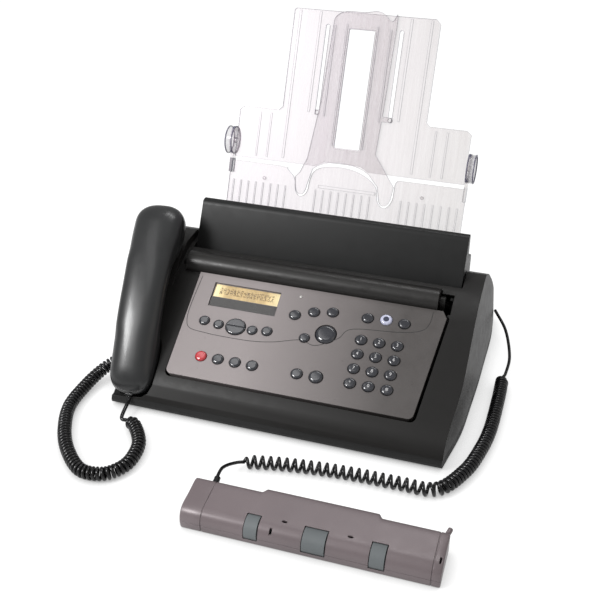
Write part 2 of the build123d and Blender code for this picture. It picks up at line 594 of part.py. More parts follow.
# wavy middle of the tray's upper edge, from right to left: x, distance up
TRAY_EDGE = [(62.0, TRAY_TOP), (57.5, 84.0), (55.6, 68.0), (48.5, 61.5), (41.4, 66.0),
             (38.0, 80.0), (27.0, 91.5), (4.0, 99.6), (-19.0, 99.6), (-36.5, 92.5),
             (-41.0, 76.0), (-43.0, 67.0), (-49.5, 62.5), (-56.0, 69.0), (-60.0, 84.0),
             (-68.0, 92.6), (-79.0, TRAY_TOP)]
PAPER_RIB_X = [-131.0 + 9.0 * i for i in range(30)]
SHORT_RIB_X = [x for x in PAPER_RIB_X if -64 < x < -36 or 34 < x < 62]  # below the two dips
LONG_RIB_X = [x for x in PAPER_RIB_X if x not in SHORT_RIB_X]
PIVOT_AT, PIVOT_R = tray_point(116.5), 3.0
EAR_R, EAR_T = 16.0, 3.0
SHEET_BACK = on_tray(-SHEET / 2)
SHEET_FRONT = on_tray(SHEET / 2 - 0.1)  # sunk a little, so raised details fuse

with BuildPart() as paper_tray:
    with BuildSketch(SHEET_BACK):
        with BuildLine():
            Polyline((-TRAY_HALF, TRAY_BOTTOM), (TRAY_HALF, TRAY_BOTTOM), (TRAY_HALF, TRAY_TOP),
                     TRAY_EDGE[0])
            Spline(*TRAY_EDGE, tangents=((-1, -0.2), (-1, 0.1)))
            Line(TRAY_EDGE[-1], (-TRAY_HALF, TRAY_TOP))
            Line((-TRAY_HALF, TRAY_TOP), (-TRAY_HALF, TRAY_BOTTOM))
        make_face()
    extrude(amount=SHEET)
    # paper ribs on the front
    with BuildSketch(SHEET_FRONT):
        with Locations(*[(x, 37.0) for x in LONG_RIB_X]):
            Rectangle(1.4, 70.0)
        with Locations(*[(x, 23.0) for x in SHORT_RIB_X]):
            Rectangle(1.4, 42.0)
    extrude(amount=1.3)
    # raised band across the middle
    add(blocks(SHEET_FRONT, 66.0, 3.0, 1.6, (4.0, 76.0)))
    # stop lip on the back that rests on the cover
    add(blocks(on_tray(-5.0), 2 * TRAY_HALF, 2.4, 5.0, (0.0, 29.5)))
    # ears that carry the folding support
    for x in (-TRAY_HALF, TRAY_HALF - EAR_T):
        with BuildSketch(side(TRAY_X + x)):
            with Locations(PIVOT_AT):
                Circle(EAR_R)
            with Locations(Location((*tray_point(97.0), 0), (0, 0, 90.0 - LEAN))):
                Rectangle(34.0, 12.0)
            with Locations(PIVOT_AT):
                Circle(PIVOT_R + PIN_PLAY, mode=Mode.SUBTRACT)
        extrude(amount=EAR_T)
save(paper_tray.part, "paper_tray")

# ---------------------------------------------------------------- document support
SHOULDER_HALF, SHOULDER_TOP = 133.6, 156.5  # wide lower part
TALL_HALF, TALL_TOP = 83.2, 271.0           # narrow upper part
# outline: x, distance up the tray's plane
SUPPORT_OUTLINE = [
    (-SHOULDER_HALF, 98.4), (-36.0, 98.4), (-27.0, 103.8), (16.0, 103.8), (26.0, 98.4),
    (SHOULDER_HALF, 98.4), (SHOULDER_HALF, SHOULDER_TOP - 4.0),
    (SHOULDER_HALF - 5.0, SHOULDER_TOP), (TALL_HALF + 4.0, SHOULDER_TOP),
    (TALL_HALF, SHOULDER_TOP + 4.0), (TALL_HALF, TALL_TOP - 5.0), (TALL_HALF - 5.0, TALL_TOP),
    (-TALL_HALF + 2.0, TALL_TOP), (-TALL_HALF, TALL_TOP - 2.0),
    (-TALL_HALF, SHOULDER_TOP + 4.0), (-TALL_HALF - 4.0, SHOULDER_TOP),
    (-SHOULDER_HALF + 5.0, SHOULDER_TOP), (-SHOULDER_HALF, SHOULDER_TOP - 4.0)]
WINDOW_AT, WINDOW_W, WINDOW_H, WINDOW_CORNER = (-2.0, 187.0), 31.0, 133.0, 1.5
PEG_X = (-42.3, 41.8)   # guide slots, and the extension's pegs in them
PIVOT_SINK = 0.2

with BuildPart() as document_support:
    with BuildSketch(SHEET_BACK):
        with BuildLine():
            Polyline(*SUPPORT_OUTLINE, close=True)
        make_face()
        # see-through window
        with Locations(WINDOW_AT):
            RectangleRounded(WINDOW_W, WINDOW_H, WINDOW_CORNER, mode=Mode.SUBTRACT)
        # guide slots for the extension's pegs
        with Locations(*[(x, 206.0) for x in PEG_X]):
            SlotOverall(100.0, 4.2, rotation=90, mode=Mode.SUBTRACT)
    extrude(amount=SHEET)
    # flutes along the front of the sheet
    with BuildSketch(SHEET_FRONT):
        with Locations((-75.5, 186.0), (74.0, 186.0)):
            Rectangle(2.4, 166.0)
        with Locations((-52.0, 213.5), (51.5, 213.5)):
            Rectangle(2.4, 111.0)
        with Locations(*[(x, 127.0) for x in (-108.0, -95.0, 95.0, 108.0)]):
            Rectangle(1.8, 50.0)
    extrude(amount=0.9)
    # pivot pins
    for x in (-TRAY_HALF + PIVOT_SINK, SHOULDER_HALF - PIVOT_SINK):
        add(discs(side(TRAY_X + x), PIVOT_R, TRAY_HALF - SHOULDER_HALF, PIVOT_AT))
save(document_support.part, "document_support")

# ---------------------------------------------------------------- support extension
EXTENSION_BACK = SHEET / 2 + 0.4    # just in front of the document support
EXTENSION_T = 2.2
PEG_S = 158.4                       # pegs' place up the slope
PEG_FOOT = -SHEET / 2 - 1.2

with BuildPart() as support_extension:
    with BuildSketch(on_tray(EXTENSION_BACK)):
        with BuildLine():
            # left side, rounded top, right side, right foot
            Polyline((-57.5, 84.0), (-52.5, 90.0), (-46.0, 106.0), (-38.5, 172.0),
                     (-35.5, 258.0))
            Spline((-35.5, 258.0), (-31.0, 267.5), (-20.0, 271.5), (0.0, 271.8), (22.0, 270.5),
                   (32.0, 266.0), (36.0, 256.0), tangents=((0, 1), (0, -1)))
            Polyline((36.0, 256.0), (34.0, 172.0), (31.7, 119.0), (57.0, 86.0), (55.5, 72.0))
            Spline((55.5, 72.0), (48.5, 63.6), (42.0, 70.0), tangents=((-0.3, -1), (-0.2, 1)))
            # arch between the feet, left foot
            Polyline((42.0, 70.0), (38.5, 84.0), (27.0, 96.0))
            Spline((27.0, 96.0), (4.0, 104.0), (-18.0, 104.0), (-38.0, 95.0),
                   tangents=((-1, 0.7), (-1, -0.8)))
            Polyline((-38.0, 95.0), (-42.5, 76.0))
            Spline((-42.5, 76.0), (-49.5, 64.6), (-56.0, 74.0), tangents=((-0.1, -1), (-0.2, 1)))
            Line((-56.0, 74.0), (-57.5, 84.0))
        make_face()
        with Locations(WINDOW_AT):
            RectangleRounded(WINDOW_W - 2.0, WINDOW_H - 2.0, WINDOW_CORNER, mode=Mode.SUBTRACT)
    extrude(amount=EXTENSION_T)
    # tabs with snap pegs that ride in the support's two slots
    with BuildSketch(on_tray(EXTENSION_BACK)):
        with Locations((-41.3, PEG_S)):
            Rectangle(5.6, 5.6)
        with Locations((38.2, PEG_S)):
            Rectangle(11.2, 5.6)
    extrude(amount=EXTENSION_T)
    for radius, length in ((1.9, SHEET + 1.7), (2.9, 1.0)):
        add(discs(on_tray(PEG_FOOT), radius, length, *[(x, PEG_S) for x in PEG_X]))
    # rails along the frame's front
    with BuildSketch(on_tray(SHEET / 2 + 2.5)):
        with Locations((-19.5, 190.0), (15.5, 190.0)):
            Rectangle(1.6, 134.0)
        with Locations((-33.0, 205.0), (30.5, 205.0)):
            Rectangle(1.6, 100.0)
    extrude(amount=1.2)
save(support_extension.part, "support_extension")

# ---------------------------------------------------------------- handset
handset_outer = handset_form(0.0)
handset_inner = handset_form(-HANDSET_WALL)
HANDSET_SEAM = 0.2
HOLE_R = 1.2
# rings of sound holes: place along, ring radius
SOUND_HOLES = [(EARPIECE_U, 6.5), (MICROPHONE_U, 4.5)]
# discs inside: place along, lower face, radius, height
CAPSULES = [(EARPIECE_U, -29.0, 17.0, 8.0), (MICROPHONE_U, -28.0, 8.0, 6.0)]
PLUNGER_FOOT, PLUNGER_TOP = -66.0, -38.6

with BuildPart() as handset_top_shell:
    add(handset_outer)
    add(handset_inner, mode=Mode.SUBTRACT)
    split(bisect_by=handset_flat(HANDSET_SPLIT), keep=Keep.TOP)
save(handset_top_shell.part, "handset_top_shell")

with BuildPart() as handset_bottom_shell:
    add(handset_outer)
    add(handset_inner, mode=Mode.SUBTRACT)
    split(bisect_by=handset_flat(HANDSET_SPLIT - HANDSET_SEAM), keep=Keep.BOTTOM)
    for along, ring_radius in SOUND_HOLES:
        with BuildSketch(handset_flat(-45.0)):
            with Locations((along, 0.0)):
                Circle(HOLE_R)
                with PolarLocations(ring_radius, 6):
                    Circle(HOLE_R)
        extrude(amount=20, mode=Mode.SUBTRACT)
    # cord jack in the lower end
    with BuildSketch(handset_station(-112.0, -16.2)):
        Rectangle(9.0, 5.6)
    extrude(amount=16.0, mode=Mode.SUBTRACT)
save(handset_bottom_shell.part, "handset_bottom_shell")

with BuildPart() as handset_capsules:
    for along, out, radius, height in CAPSULES:
        add(discs(handset_flat(out), radius, height, (along, 0.0)))
save(handset_capsules.part, "handset_capsules")

# plunger under the earpiece end, with a wider foot
with BuildPart() as hook_switch:
    add(blocks(handset_flat(PLUNGER_FOOT), 12.0, 5.0, PLUNGER_TOP - PLUNGER_FOOT,
               HOOK_SWITCH_AT))
    add(blocks(handset_flat(PLUNGER_FOOT - 1.0), 15.0, 7.5, 3.0, HOOK_SWITCH_AT))
save(hook_switch.part, "hook_switch")

# ---------------------------------------------------------------- hand scanner
SCANNER_X1, SCANNER_X2 = -36.5, 201.0
SCANNER_LENGTH = SCANNER_X2 - SCANNER_X1
# cross section, and the middle stretch that reaches further back: y, z
SCANNER_PROFILE = [(-141.0, 1.0), (-142.0, 8.0), (-141.0, 15.0), (-137.0, 20.0),
                   (-131.0, 22.4), (-103.0, 24.6), (-98.5, 23.0), (-97.5, 20.0), (-97.5, 1.0)]
SCANNER_MIDDLE = [(-104.0, 1.0), (-104.0, 24.5), (-96.0, 24.2), (-92.5, 21.5), (-92.5, 1.0)]
SCANNER_SPLIT, SCANNER_SEAM = 9.0, 0.2
SCANNER_WALL, SCANNER_END_WALL = 2.0, 2.5
ROLL_AT, ROLL_R, ROLL_SHAFT_R = (-131.6, 11.7), 11.2, 3.0
ROLL_GAP = 0.8          # around each tyre
TYRES = [(25.0, 37.0), (78.5, 99.0), (139.0, 152.0)]    # x from, x to
BEARING_OUTLINE = [(-137.0, SCANNER_SPLIT), (-137.0, 18.0), (-131.0, 20.6), (-124.0, 21.0),
                   (-124.0, SCANNER_SPLIT)]
BEARING_T, BEARING_INSET = 6.0, 2.4
ROLL_SHAFT_INSET = 2.9
# sensor housing, with its narrow foot in the reading slit: y, z
SENSOR_OUTLINE = [(-117.0, 1.6), (-109.0, 1.6), (-109.0, 4.0), (-107.0, 4.0), (-107.0, 17.0),
                  (-118.5, 17.0), (-118.5, 4.0), (-117.0, 4.0)]

with BuildPart() as scanner_form:
    add(prism(side(SCANNER_X1), SCANNER_PROFILE, SCANNER_LENGTH))
    add(prism(side(28.0), SCANNER_MIDDLE, 113.0))

with BuildPart() as scanner_core:
    with BuildSketch(side(SCANNER_X1 + SCANNER_END_WALL)):
        with BuildLine():
            Polyline(*SCANNER_PROFILE, close=True)
        make_face()
        offset(amount=-SCANNER_WALL, kind=Kind.INTERSECTION)
    extrude(amount=SCANNER_LENGTH - 2 * SCANNER_END_WALL)

# windows for the roller's tyres
with BuildPart() as tyre_windows:
    for x1, x2 in TYRES:
        add(discs(side(x1 - ROLL_GAP), ROLL_R + ROLL_GAP, x2 - x1 + 2 * ROLL_GAP, ROLL_AT))

with BuildPart() as scanner_top_case:
    add(scanner_form.part)
    add(scanner_core.part, mode=Mode.SUBTRACT)
    add(tyre_windows.part, mode=Mode.SUBTRACT)
    split(bisect_by=level(SCANNER_SPLIT), keep=Keep.TOP)
    # bearing blocks inside the ends
    for x in (SCANNER_X1 + BEARING_INSET, SCANNER_X2 - BEARING_INSET - BEARING_T):
        add(prism(side(x), BEARING_OUTLINE, BEARING_T))
        add(discs(side(x - 0.2), ROLL_SHAFT_R + PIN_PLAY, BEARING_T + 0.4, ROLL_AT),
            mode=Mode.SUBTRACT)
    # two slots in the top
    with BuildSketch(level(15.0)):
        with Locations((57.0, -124.0), (117.0, -124.0)):
            SlotOverall(7.0, 3.0)
    extrude(amount=20, mode=Mode.SUBTRACT)
save(scanner_top_case.part, "scanner_top_case")

with BuildPart() as scanner_bottom_case:
    add(scanner_form.part)
    add(scanner_core.part, mode=Mode.SUBTRACT)
    add(tyre_windows.part, mode=Mode.SUBTRACT)
    split(bisect_by=level(SCANNER_SPLIT - SCANNER_SEAM), keep=Keep.BOTTOM)
    # reading slit
    add(blocks(level(0.0), 219.0, 9.0, 8, ((SCANNER_X1 + SCANNER_X2) / 2, -113.0)),
        mode=Mode.SUBTRACT)
save(scanner_bottom_case.part, "scanner_bottom_case")

with BuildPart() as scanner_roller:
    add(discs(side(SCANNER_X1 + ROLL_SHAFT_INSET), ROLL_SHAFT_R,
              SCANNER_LENGTH - 2 * ROLL_SHAFT_INSET, ROLL_AT))
    for x1, x2 in TYRES:
        add(discs(side(x1), ROLL_R, x2 - x1, ROLL_AT))
save(scanner_roller.part, "scanner_roller")

save(prism(side(SCANNER_X1 + 9.5), SENSOR_OUTLINE, 218.0), "scanner_sensor")

# ---------------------------------------------------------------- cords
COIL_R, LEAD_R = 6.2, 2.0   # a coiled stretch is a plain round bar
# points along the cords: x, y, z
HANDSET_COIL = [(-138.0, -28.0, 8.0), (-117.5, -55.0, 7.4), (-120.5, -96.0, 7.4),
                (-152.0, -107.0, 7.4), (-190.0, -72.0, 7.4), (-214.0, -20.0, 7.4),
                (-208.0, 34.0, 10.0)]
SCANNER_COIL = [(-3.0, -48.5, 7.4), (60.0, -38.0, 7.4), (120.0, -34.0, 7.4),
                (175.0, -31.0, 7.4), (205.0, 10.0, 7.4), (215.0, 75.0, 7.4),
                (216.0, 157.0, 7.4)]
SCANNER_LEAD = [(-9.0, -52.0, 8.0), (-20.0, -68.0, 14.0), (-19.0, -95.5, 20.0)]
SCANNER_TAIL = [(216.5, 164.0, 8.0), (218.0, 200.0, 12.0), (205.0, 245.0, 20.0),
                (194.5, 266.0, 26.0)]

save(cord(HANDSET_COIL, COIL_R), "handset_cord")

with BuildPart() as scanner_cord:
    for points, radius in ((SCANNER_COIL, COIL_R), (SCANNER_LEAD, LEAD_R),
                           (SCANNER_TAIL, LEAD_R)):
        add(cord(points, radius))
save(scanner_cord.part, "scanner_cord")
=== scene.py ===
# Desktop telephone and fax machine with a sloping key panel, a clear paper tray leaning back behind
# it, a handset lying along its left side, and a loose hand scanner on the table in front of it.
# Shapes are laid out in machine millimetres: X to the right from the middle of the front edge,
# Y to the back, Z up from the table. machine() turns them into the metres of the scene.
import json
import math
from functools import cached_property

import bmesh
import bpy
import numpy as np
from mathutils import Matrix, Vector


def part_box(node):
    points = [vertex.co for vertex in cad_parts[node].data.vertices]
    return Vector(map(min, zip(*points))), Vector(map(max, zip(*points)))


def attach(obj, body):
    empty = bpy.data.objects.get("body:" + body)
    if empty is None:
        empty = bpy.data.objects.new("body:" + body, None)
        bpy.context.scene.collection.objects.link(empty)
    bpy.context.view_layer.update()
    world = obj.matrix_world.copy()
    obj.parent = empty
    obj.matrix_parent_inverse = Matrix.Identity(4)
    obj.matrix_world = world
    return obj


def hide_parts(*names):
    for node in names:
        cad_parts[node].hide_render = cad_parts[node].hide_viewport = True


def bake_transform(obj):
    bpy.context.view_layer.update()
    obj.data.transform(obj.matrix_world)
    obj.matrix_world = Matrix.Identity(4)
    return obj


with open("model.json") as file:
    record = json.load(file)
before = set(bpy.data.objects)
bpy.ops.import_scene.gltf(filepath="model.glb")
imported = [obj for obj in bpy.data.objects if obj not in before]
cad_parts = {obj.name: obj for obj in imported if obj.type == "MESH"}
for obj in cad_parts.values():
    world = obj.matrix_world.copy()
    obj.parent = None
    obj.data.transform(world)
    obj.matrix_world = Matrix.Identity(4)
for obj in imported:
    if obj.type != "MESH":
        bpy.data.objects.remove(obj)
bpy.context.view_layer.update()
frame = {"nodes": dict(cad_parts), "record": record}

# ------------------------------------------------------------------ places and directions
FEET_FRONT = 20.0  # machine Y of the feet's front
feet_low, feet_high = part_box("feet")
SHIFT_X = -(feet_low.x + feet_high.x) / 2 * 1000.0
SHIFT_Y = FEET_FRONT - feet_low.y * 1000.0

RIGHT = Vector((1, 0, 0))
UP = Vector((0, 0, 1))

PANEL_TILT = math.radians(29.73)  # the panel's slope, from level
PANEL_FRONT_Y, PANEL_FRONT_Z = 23.8, 38.9
PANEL_NORMAL = Vector((0, -math.sin(PANEL_TILT), math.cos(PANEL_TILT)))
PANEL_UP = Vector((0, math.cos(PANEL_TILT), math.sin(PANEL_TILT)))

TRAY_LEAN = math.radians(25.7)  # the tray's lean to the back, from upright
TRAY_X, TRAY_Y, TRAY_Z = 8.2, 212.9, 98.3
TRAY_NORMAL = Vector((0, -math.cos(TRAY_LEAN), math.sin(TRAY_LEAN)))
TRAY_UP = Vector((0, math.sin(TRAY_LEAN), math.cos(TRAY_LEAN)))

HANDSET_FRONT = Vector((-154.0, -8.0, 30.0))
HANDSET_REAR = Vector((-175.0, 152.0, 171.0))
HANDSET_MIDDLE = (HANDSET_FRONT + HANDSET_REAR) / 2
HANDSET_ALONG = (HANDSET_REAR - HANDSET_FRONT).normalized()
HANDSET_ACROSS = Vector((HANDSET_ALONG.y, -HANDSET_ALONG.x, 0)).normalized()
HANDSET_NORMAL = HANDSET_ACROSS.cross(HANDSET_ALONG)


def machine(x, y, z):
    """Machine millimetres to scene metres."""
    return Vector(((x - SHIFT_X) / 1000.0, (y - SHIFT_Y) / 1000.0, z / 1000.0))


def on_panel(x, slope, height):
    """A point at a distance up the panel's slope and a height above its face."""
    return machine(
        x,
        PANEL_FRONT_Y + slope * math.cos(PANEL_TILT) - height * math.sin(PANEL_TILT),
        PANEL_FRONT_Z + slope * math.sin(PANEL_TILT) + height * math.cos(PANEL_TILT))


def on_tray(x, slope, height):
    """A point at a distance up the tray and a height in front of its sheet."""
    return machine(
        TRAY_X + x,
        TRAY_Y + slope * math.sin(TRAY_LEAN) - height * math.cos(TRAY_LEAN),
        TRAY_Z + slope * math.cos(TRAY_LEAN) + height * math.sin(TRAY_LEAN))


def handset_point(along, across, height):
    """Handset coordinates, from its middle, to machine millimetres."""
    return (HANDSET_MIDDLE + HANDSET_ALONG * along + HANDSET_ACROSS * across
            + HANDSET_NORMAL * height)


def on_handset(along, across, height):
    return machine(*handset_point(along, across, height))


# ------------------------------------------------------------------ material helpers
MATERIALS = {}


def rgba(color):
    return (*color, 1.0)


class Material:
    def __init__(self, name):
        self.name = name
        self.material = bpy.data.materials.new(name)
        self.material.use_nodes = True
        self.tree = self.material.node_tree
        self.tree.nodes.clear()
        self.output = self.tree.nodes.new("ShaderNodeOutputMaterial")

    @cached_property
    def place(self):
        return self.node("ShaderNodeTexCoord").outputs["Object"]

    def finish(self, shader):
        self.put(self.output, 0, shader.outputs[0])
        MATERIALS[self.name] = self.material

    def put(self, node, key, value):
        """Links a socket to an input, or sets the input's value."""
        if isinstance(value, bpy.types.NodeSocket):
            self.tree.links.new(value, node.inputs[key])
        else:
            node.inputs[key].default_value = value

    def node(self, kind, props=None, **inputs):
        """A node; underscores in the input names stand for spaces."""
        node = self.tree.nodes.new(kind)
        for key, value in (props or {}).items():
            setattr(node, key, value)
        for key, value in inputs.items():
            self.put(node, key.replace("_", " "), value)
        return node

    def calc(self, operation, first, second=0.0, clamp=False):
        node = self.node("ShaderNodeMath", {"operation": operation, "use_clamp": clamp})
        self.put(node, 0, first)
        self.put(node, 1, second)
        return node.outputs[0]

    def times(self, first, second):
        return self.calc("MULTIPLY", first, second)

    def between(self, value, low, high):
        above = self.calc("GREATER_THAN", value, low)
        return self.times(above, self.calc("LESS_THAN", value, high))

    def noise(self, scale, detail=2.0, rough=0.5, vector=None):
        return self.node("ShaderNodeTexNoise", Vector=self.place if vector is None else vector,
                         Scale=scale, Detail=detail, Roughness=rough).outputs["Fac"]

    def span(self, value, over, to):
        """Maps the range over onto the range to, clamped."""
        return self.node("ShaderNodeMapRange", {"clamp": True}, Value=value,
                         From_Min=over[0], From_Max=over[1],
                         To_Min=to[0], To_Max=to[1]).outputs["Result"]

    def mix(self, amount, first, second, blend="MIX"):
        node = self.node("ShaderNodeMix", {"data_type": "RGBA", "blend_type": blend})
        # inputs 6 and 7 and output 2 are the colour sockets
        for key, value in ((0, amount), (6, first), (7, second)):
            self.put(node, key, value)
        return node.outputs[2]

    def shade(self, color, brightness):
        """The colour multiplied by a brightness."""
        grey = self.node("ShaderNodeCombineColor")
        for channel in range(3):
            self.put(grey, channel, brightness)
        return self.mix(1.0, color, grey.outputs[0], "MULTIPLY")

    def dot(self, first, second):
        node = self.node("ShaderNodeVectorMath", {"operation": "DOT_PRODUCT"})
        self.put(node, 0, first)
        self.put(node, 1, second)
        return node.outputs["Value"]

    def distance(self, direction, origin):
        """Metres from origin along a direction."""
        return self.calc("SUBTRACT", self.dot(self.place, tuple(direction)),
                         direction.dot(origin))


# ------------------------------------------------------------------ material kinds
def plastic(name, color, rough=0.42, grain=1700.0, bump=0.10, blotch=0.07, metallic=0.0,
            coat=0.0, wear=0.35, spec=0.5, flake=0.0, scuff=0.10, pattern=None):
    """Soft tone changes, a fine moulded grain, scuffs in the gloss and lighter worn edges."""
    mat = Material(name)
    soft = mat.span(mat.noise(scale=16.0, detail=3.0),
                    over=(0.3, 0.7), to=(1.0 - blotch, 1.0 + blotch))
    fine = mat.noise(scale=grain, detail=2.0, rough=0.6)
    scuffs = mat.noise(scale=85.0, detail=7.0, rough=0.65)
    flakes = mat.span(fine, over=(0.25, 0.75), to=(1.0 - flake, 1.0 + flake))
    tone = mat.shade(rgba(color), mat.times(soft, flakes))
    if pattern is not None:
        tone = pattern(mat, tone)

    # an edge is where the rounded normal departs from the true one
    rounded = mat.node("ShaderNodeBevel", {"samples": 4}, Radius=0.0006).outputs[0]
    true = mat.node("ShaderNodeNewGeometry").outputs["Normal"]
    edge = mat.calc("SUBTRACT", 1.0, mat.dot(rounded, true), clamp=True)
    edge = mat.times(mat.span(edge, over=(0.02, 0.25), to=(0.0, 1.0)),
                     mat.span(scuffs, over=(0.40, 0.62), to=(0.15, 1.0)))
    worn = rgba([min(1.0, channel * 1.7 + 0.05) for channel in color])
    tone = mat.mix(mat.times(edge, wear), tone, worn)

    gloss = mat.calc("ADD", rough, mat.span(scuffs, over=(0.3, 0.7), to=(-scuff, scuff)))
    gloss = mat.calc("ADD", gloss, mat.span(fine, over=(0.3, 0.7), to=(-0.04, 0.04)), clamp=True)
    relief = mat.node("ShaderNodeBump", Strength=bump, Distance=0.0002, Height=fine,
                      Normal=rounded)
    mat.finish(mat.node(
        "ShaderNodeBsdfPrincipled", Base_Color=tone, Roughness=gloss, Metallic=metallic,
        Normal=relief.outputs[0], Specular_IOR_Level=spec, Coat_Weight=coat,
        Coat_Roughness=0.12))


def clear_sheet(name, face, lit_and_shaded_tints, edge_tint, haze, ears=False, rim_cover=0.9):
    """Clear moulded sheet: faint haze and streaks on the faces, a tint along the cut edges.

    face is the direction the sheet's faces look; it takes a colour for the left and one for the
    right, and a darker right one is painted shade.
    """
    mat = Material(name)
    true_normal = mat.node("ShaderNodeNewGeometry").outputs["True Normal"]
    to_object = {"vector_type": "NORMAL", "convert_from": "WORLD", "convert_to": "OBJECT"}
    normal = mat.node("ShaderNodeVectorTransform", to_object, Vector=true_normal).outputs[0]
    facing = mat.calc("ABSOLUTE", mat.dot(normal, tuple(face)))
    if ears:
        # the two pivot ears stand across the sheet, so their broad faces point sideways
        sideways = mat.calc("ABSOLUTE", mat.distance(RIGHT, on_tray(0, 0, 0)))
        height = mat.distance(TRAY_UP, on_tray(0, 0, 0))
        at_ear = mat.times(mat.calc("GREATER_THAN", sideways, 0.134),
                           mat.calc("GREATER_THAN", height, 0.096))
        ear_facing = mat.calc("ABSOLUTE", mat.dot(normal, tuple(RIGHT)))
        facing = mat.calc("MAXIMUM", facing, mat.times(at_ear, ear_facing))
    rim = mat.span(facing, over=(0.55, 0.92), to=(1.0, 0.0))

    # painted shade: across the sheet the colour goes from the lighter left one to the darker right
    # one, and the haze thickens to the right
    side = mat.span(mat.dot(mat.place, tuple(RIGHT)), over=(-0.10, 0.13), to=(0.0, 1.0))
    stretched = mat.node("ShaderNodeMapping", Vector=mat.place, Scale=(1.0, 0.06, 0.06))
    streak = mat.noise(scale=260.0, detail=3.0, rough=0.6, vector=stretched.outputs[0])
    tone = mat.mix(rim, mat.mix(side, rgba(lit_and_shaded_tints[0]), rgba(lit_and_shaded_tints[1])), rgba(edge_tint))

    # opacity: haze, more at grazing views, in streaks, more to the right as painted shade, most
    # along the rims
    grazing = mat.node("ShaderNodeLayerWeight", Blend=0.35).outputs["Facing"]
    cover = mat.calc("ADD", haze, mat.times(grazing, 0.14))
    cover = mat.calc("ADD", cover, mat.span(streak, over=(0.35, 0.7), to=(-0.025, 0.035)))
    cover = mat.calc("ADD", cover, mat.times(side, 0.06))
    cover = mat.calc("MAXIMUM", cover, mat.times(rim, rim_cover), clamp=True)
    if ears:
        # moulded corners gather a darker line a millimetre wide beside each edge
        near = mat.node("ShaderNodeBevel", {"samples": 6}, Radius=0.0011).outputs[0]
        true = mat.node("ShaderNodeNewGeometry").outputs["Normal"]
        line = mat.times(mat.span(mat.dot(near, true), over=(0.80, 0.985), to=(1.0, 0.0)),
                         mat.calc("SUBTRACT", 1.0, at_ear))
        cover = mat.calc("MAXIMUM", cover, mat.times(line, 0.62))
        tone = mat.mix(mat.times(line, 0.75), tone, rgba(edge_tint))

    relief = mat.node("ShaderNodeBump", Strength=0.06, Distance=0.0002,
                      Height=mat.noise(scale=900.0, detail=3.0))
    mat.finish(mat.node(
        "ShaderNodeBsdfPrincipled", Base_Color=tone, Alpha=cover, Normal=relief.outputs[0],
        Roughness=mat.span(streak, over=(0.3, 0.7), to=(0.10, 0.24)), Specular_IOR_Level=0.6))


def amber_display(name):
    """Amber display with a row of dark dot-matrix cells of random dots, which spell nothing."""
    corner = on_panel(-100.6, 98.0, 0)  # front left corner of the glass
    cells, first_cell, cell_pitch = 16, 6.0, 3.9
    columns, column_slots = 5.0, 6.0  # the last slot of a cell is the gap to the next
    rows, row_front, row_depth = 7.0, 4.4, 7.8
    amber_middle = (0.50, 0.36, 0.17, 1)
    amber_ends = (0.86, 0.72, 0.40, 1)
    dot_dark = (0.10, 0.065, 0.025, 1)

    mat = Material(name)
    across = mat.times(mat.distance(RIGHT, corner), 1000.0)
    slope = mat.times(mat.distance(PANEL_UP, corner), 1000.0)
    cell = mat.calc("DIVIDE", mat.calc("SUBTRACT", across, first_cell), cell_pitch)
    inside = mat.times(mat.between(cell, 0.0, cells),
                       mat.between(slope, row_front, row_front + row_depth))
    column = mat.times(mat.calc("FRACT", cell), column_slots)
    row = mat.times(mat.calc("SUBTRACT", slope, row_front), rows / row_depth)
    cell_start = mat.times(mat.calc("FLOOR", cell), column_slots)
    seed = mat.node("ShaderNodeCombineXYZ",
                    X=mat.calc("FLOOR", mat.calc("ADD", cell_start, column)),
                    Y=mat.calc("FLOOR", row))
    pick = mat.node("ShaderNodeTexWhiteNoise", {"noise_dimensions": "2D"},
                    Vector=seed.outputs[0]).outputs["Value"]
    dots = mat.times(mat.calc("GREATER_THAN", pick, 0.48),
                     mat.calc("LESS_THAN", column, columns))
    dots = mat.times(dots, inside)

    from_middle = mat.calc("ABSOLUTE", mat.calc("SUBTRACT", across, 37.0))
    ends = mat.span(from_middle, over=(22.0, 36.0), to=(0.0, 1.0))
    glow = mat.span(mat.noise(scale=60.0), over=(0.3, 0.7), to=(0.88, 1.12))
    amber = mat.shade(mat.mix(ends, amber_middle, amber_ends), glow)
    tone = mat.mix(mat.times(dots, 0.82), amber, dot_dark)
    gloss = mat.span(mat.noise(scale=300.0), over=(0.3, 0.7), to=(0.25, 0.36))
    # painted glow: the display also emits a faint light in its own amber colour
    mat.finish(mat.node("ShaderNodeBsdfPrincipled", Base_Color=tone, Roughness=gloss,
                        Emission_Color=tone, Emission_Strength=0.22))


# ------------------------------------------------------------------ patterns on plastics
def board_pattern(mat, tone):
    """Copper runs under solder resist."""
    copper_green = (0.10, 0.30, 0.13, 1)
    brick = mat.node("ShaderNodeTexBrick", Vector=mat.place, Scale=70.0, Mortar_Size=0.03)
    return mat.mix(mat.times(brick.outputs["Fac"], 0.6), tone, copper_green)


def ring_pattern(mat, tone):
    """Dark middle inside the pale ring of the round message key."""
    half_width, half_depth = 6.5, 6.0
    middle_dark = (0.03, 0.035, 0.06, 1)
    centre = on_panel(92.2, 103.0, 0)
    across = mat.times(mat.distance(RIGHT, centre), 1000.0 / half_width)
    slope = mat.times(mat.distance(PANEL_UP, centre), 1000.0 / half_depth)
    squares = mat.calc("ADD", mat.times(across, across), mat.times(slope, slope))
    radius = mat.calc("SQRT", squares)
    return mat.mix(mat.calc("LESS_THAN", radius, 0.48), tone, middle_dark)


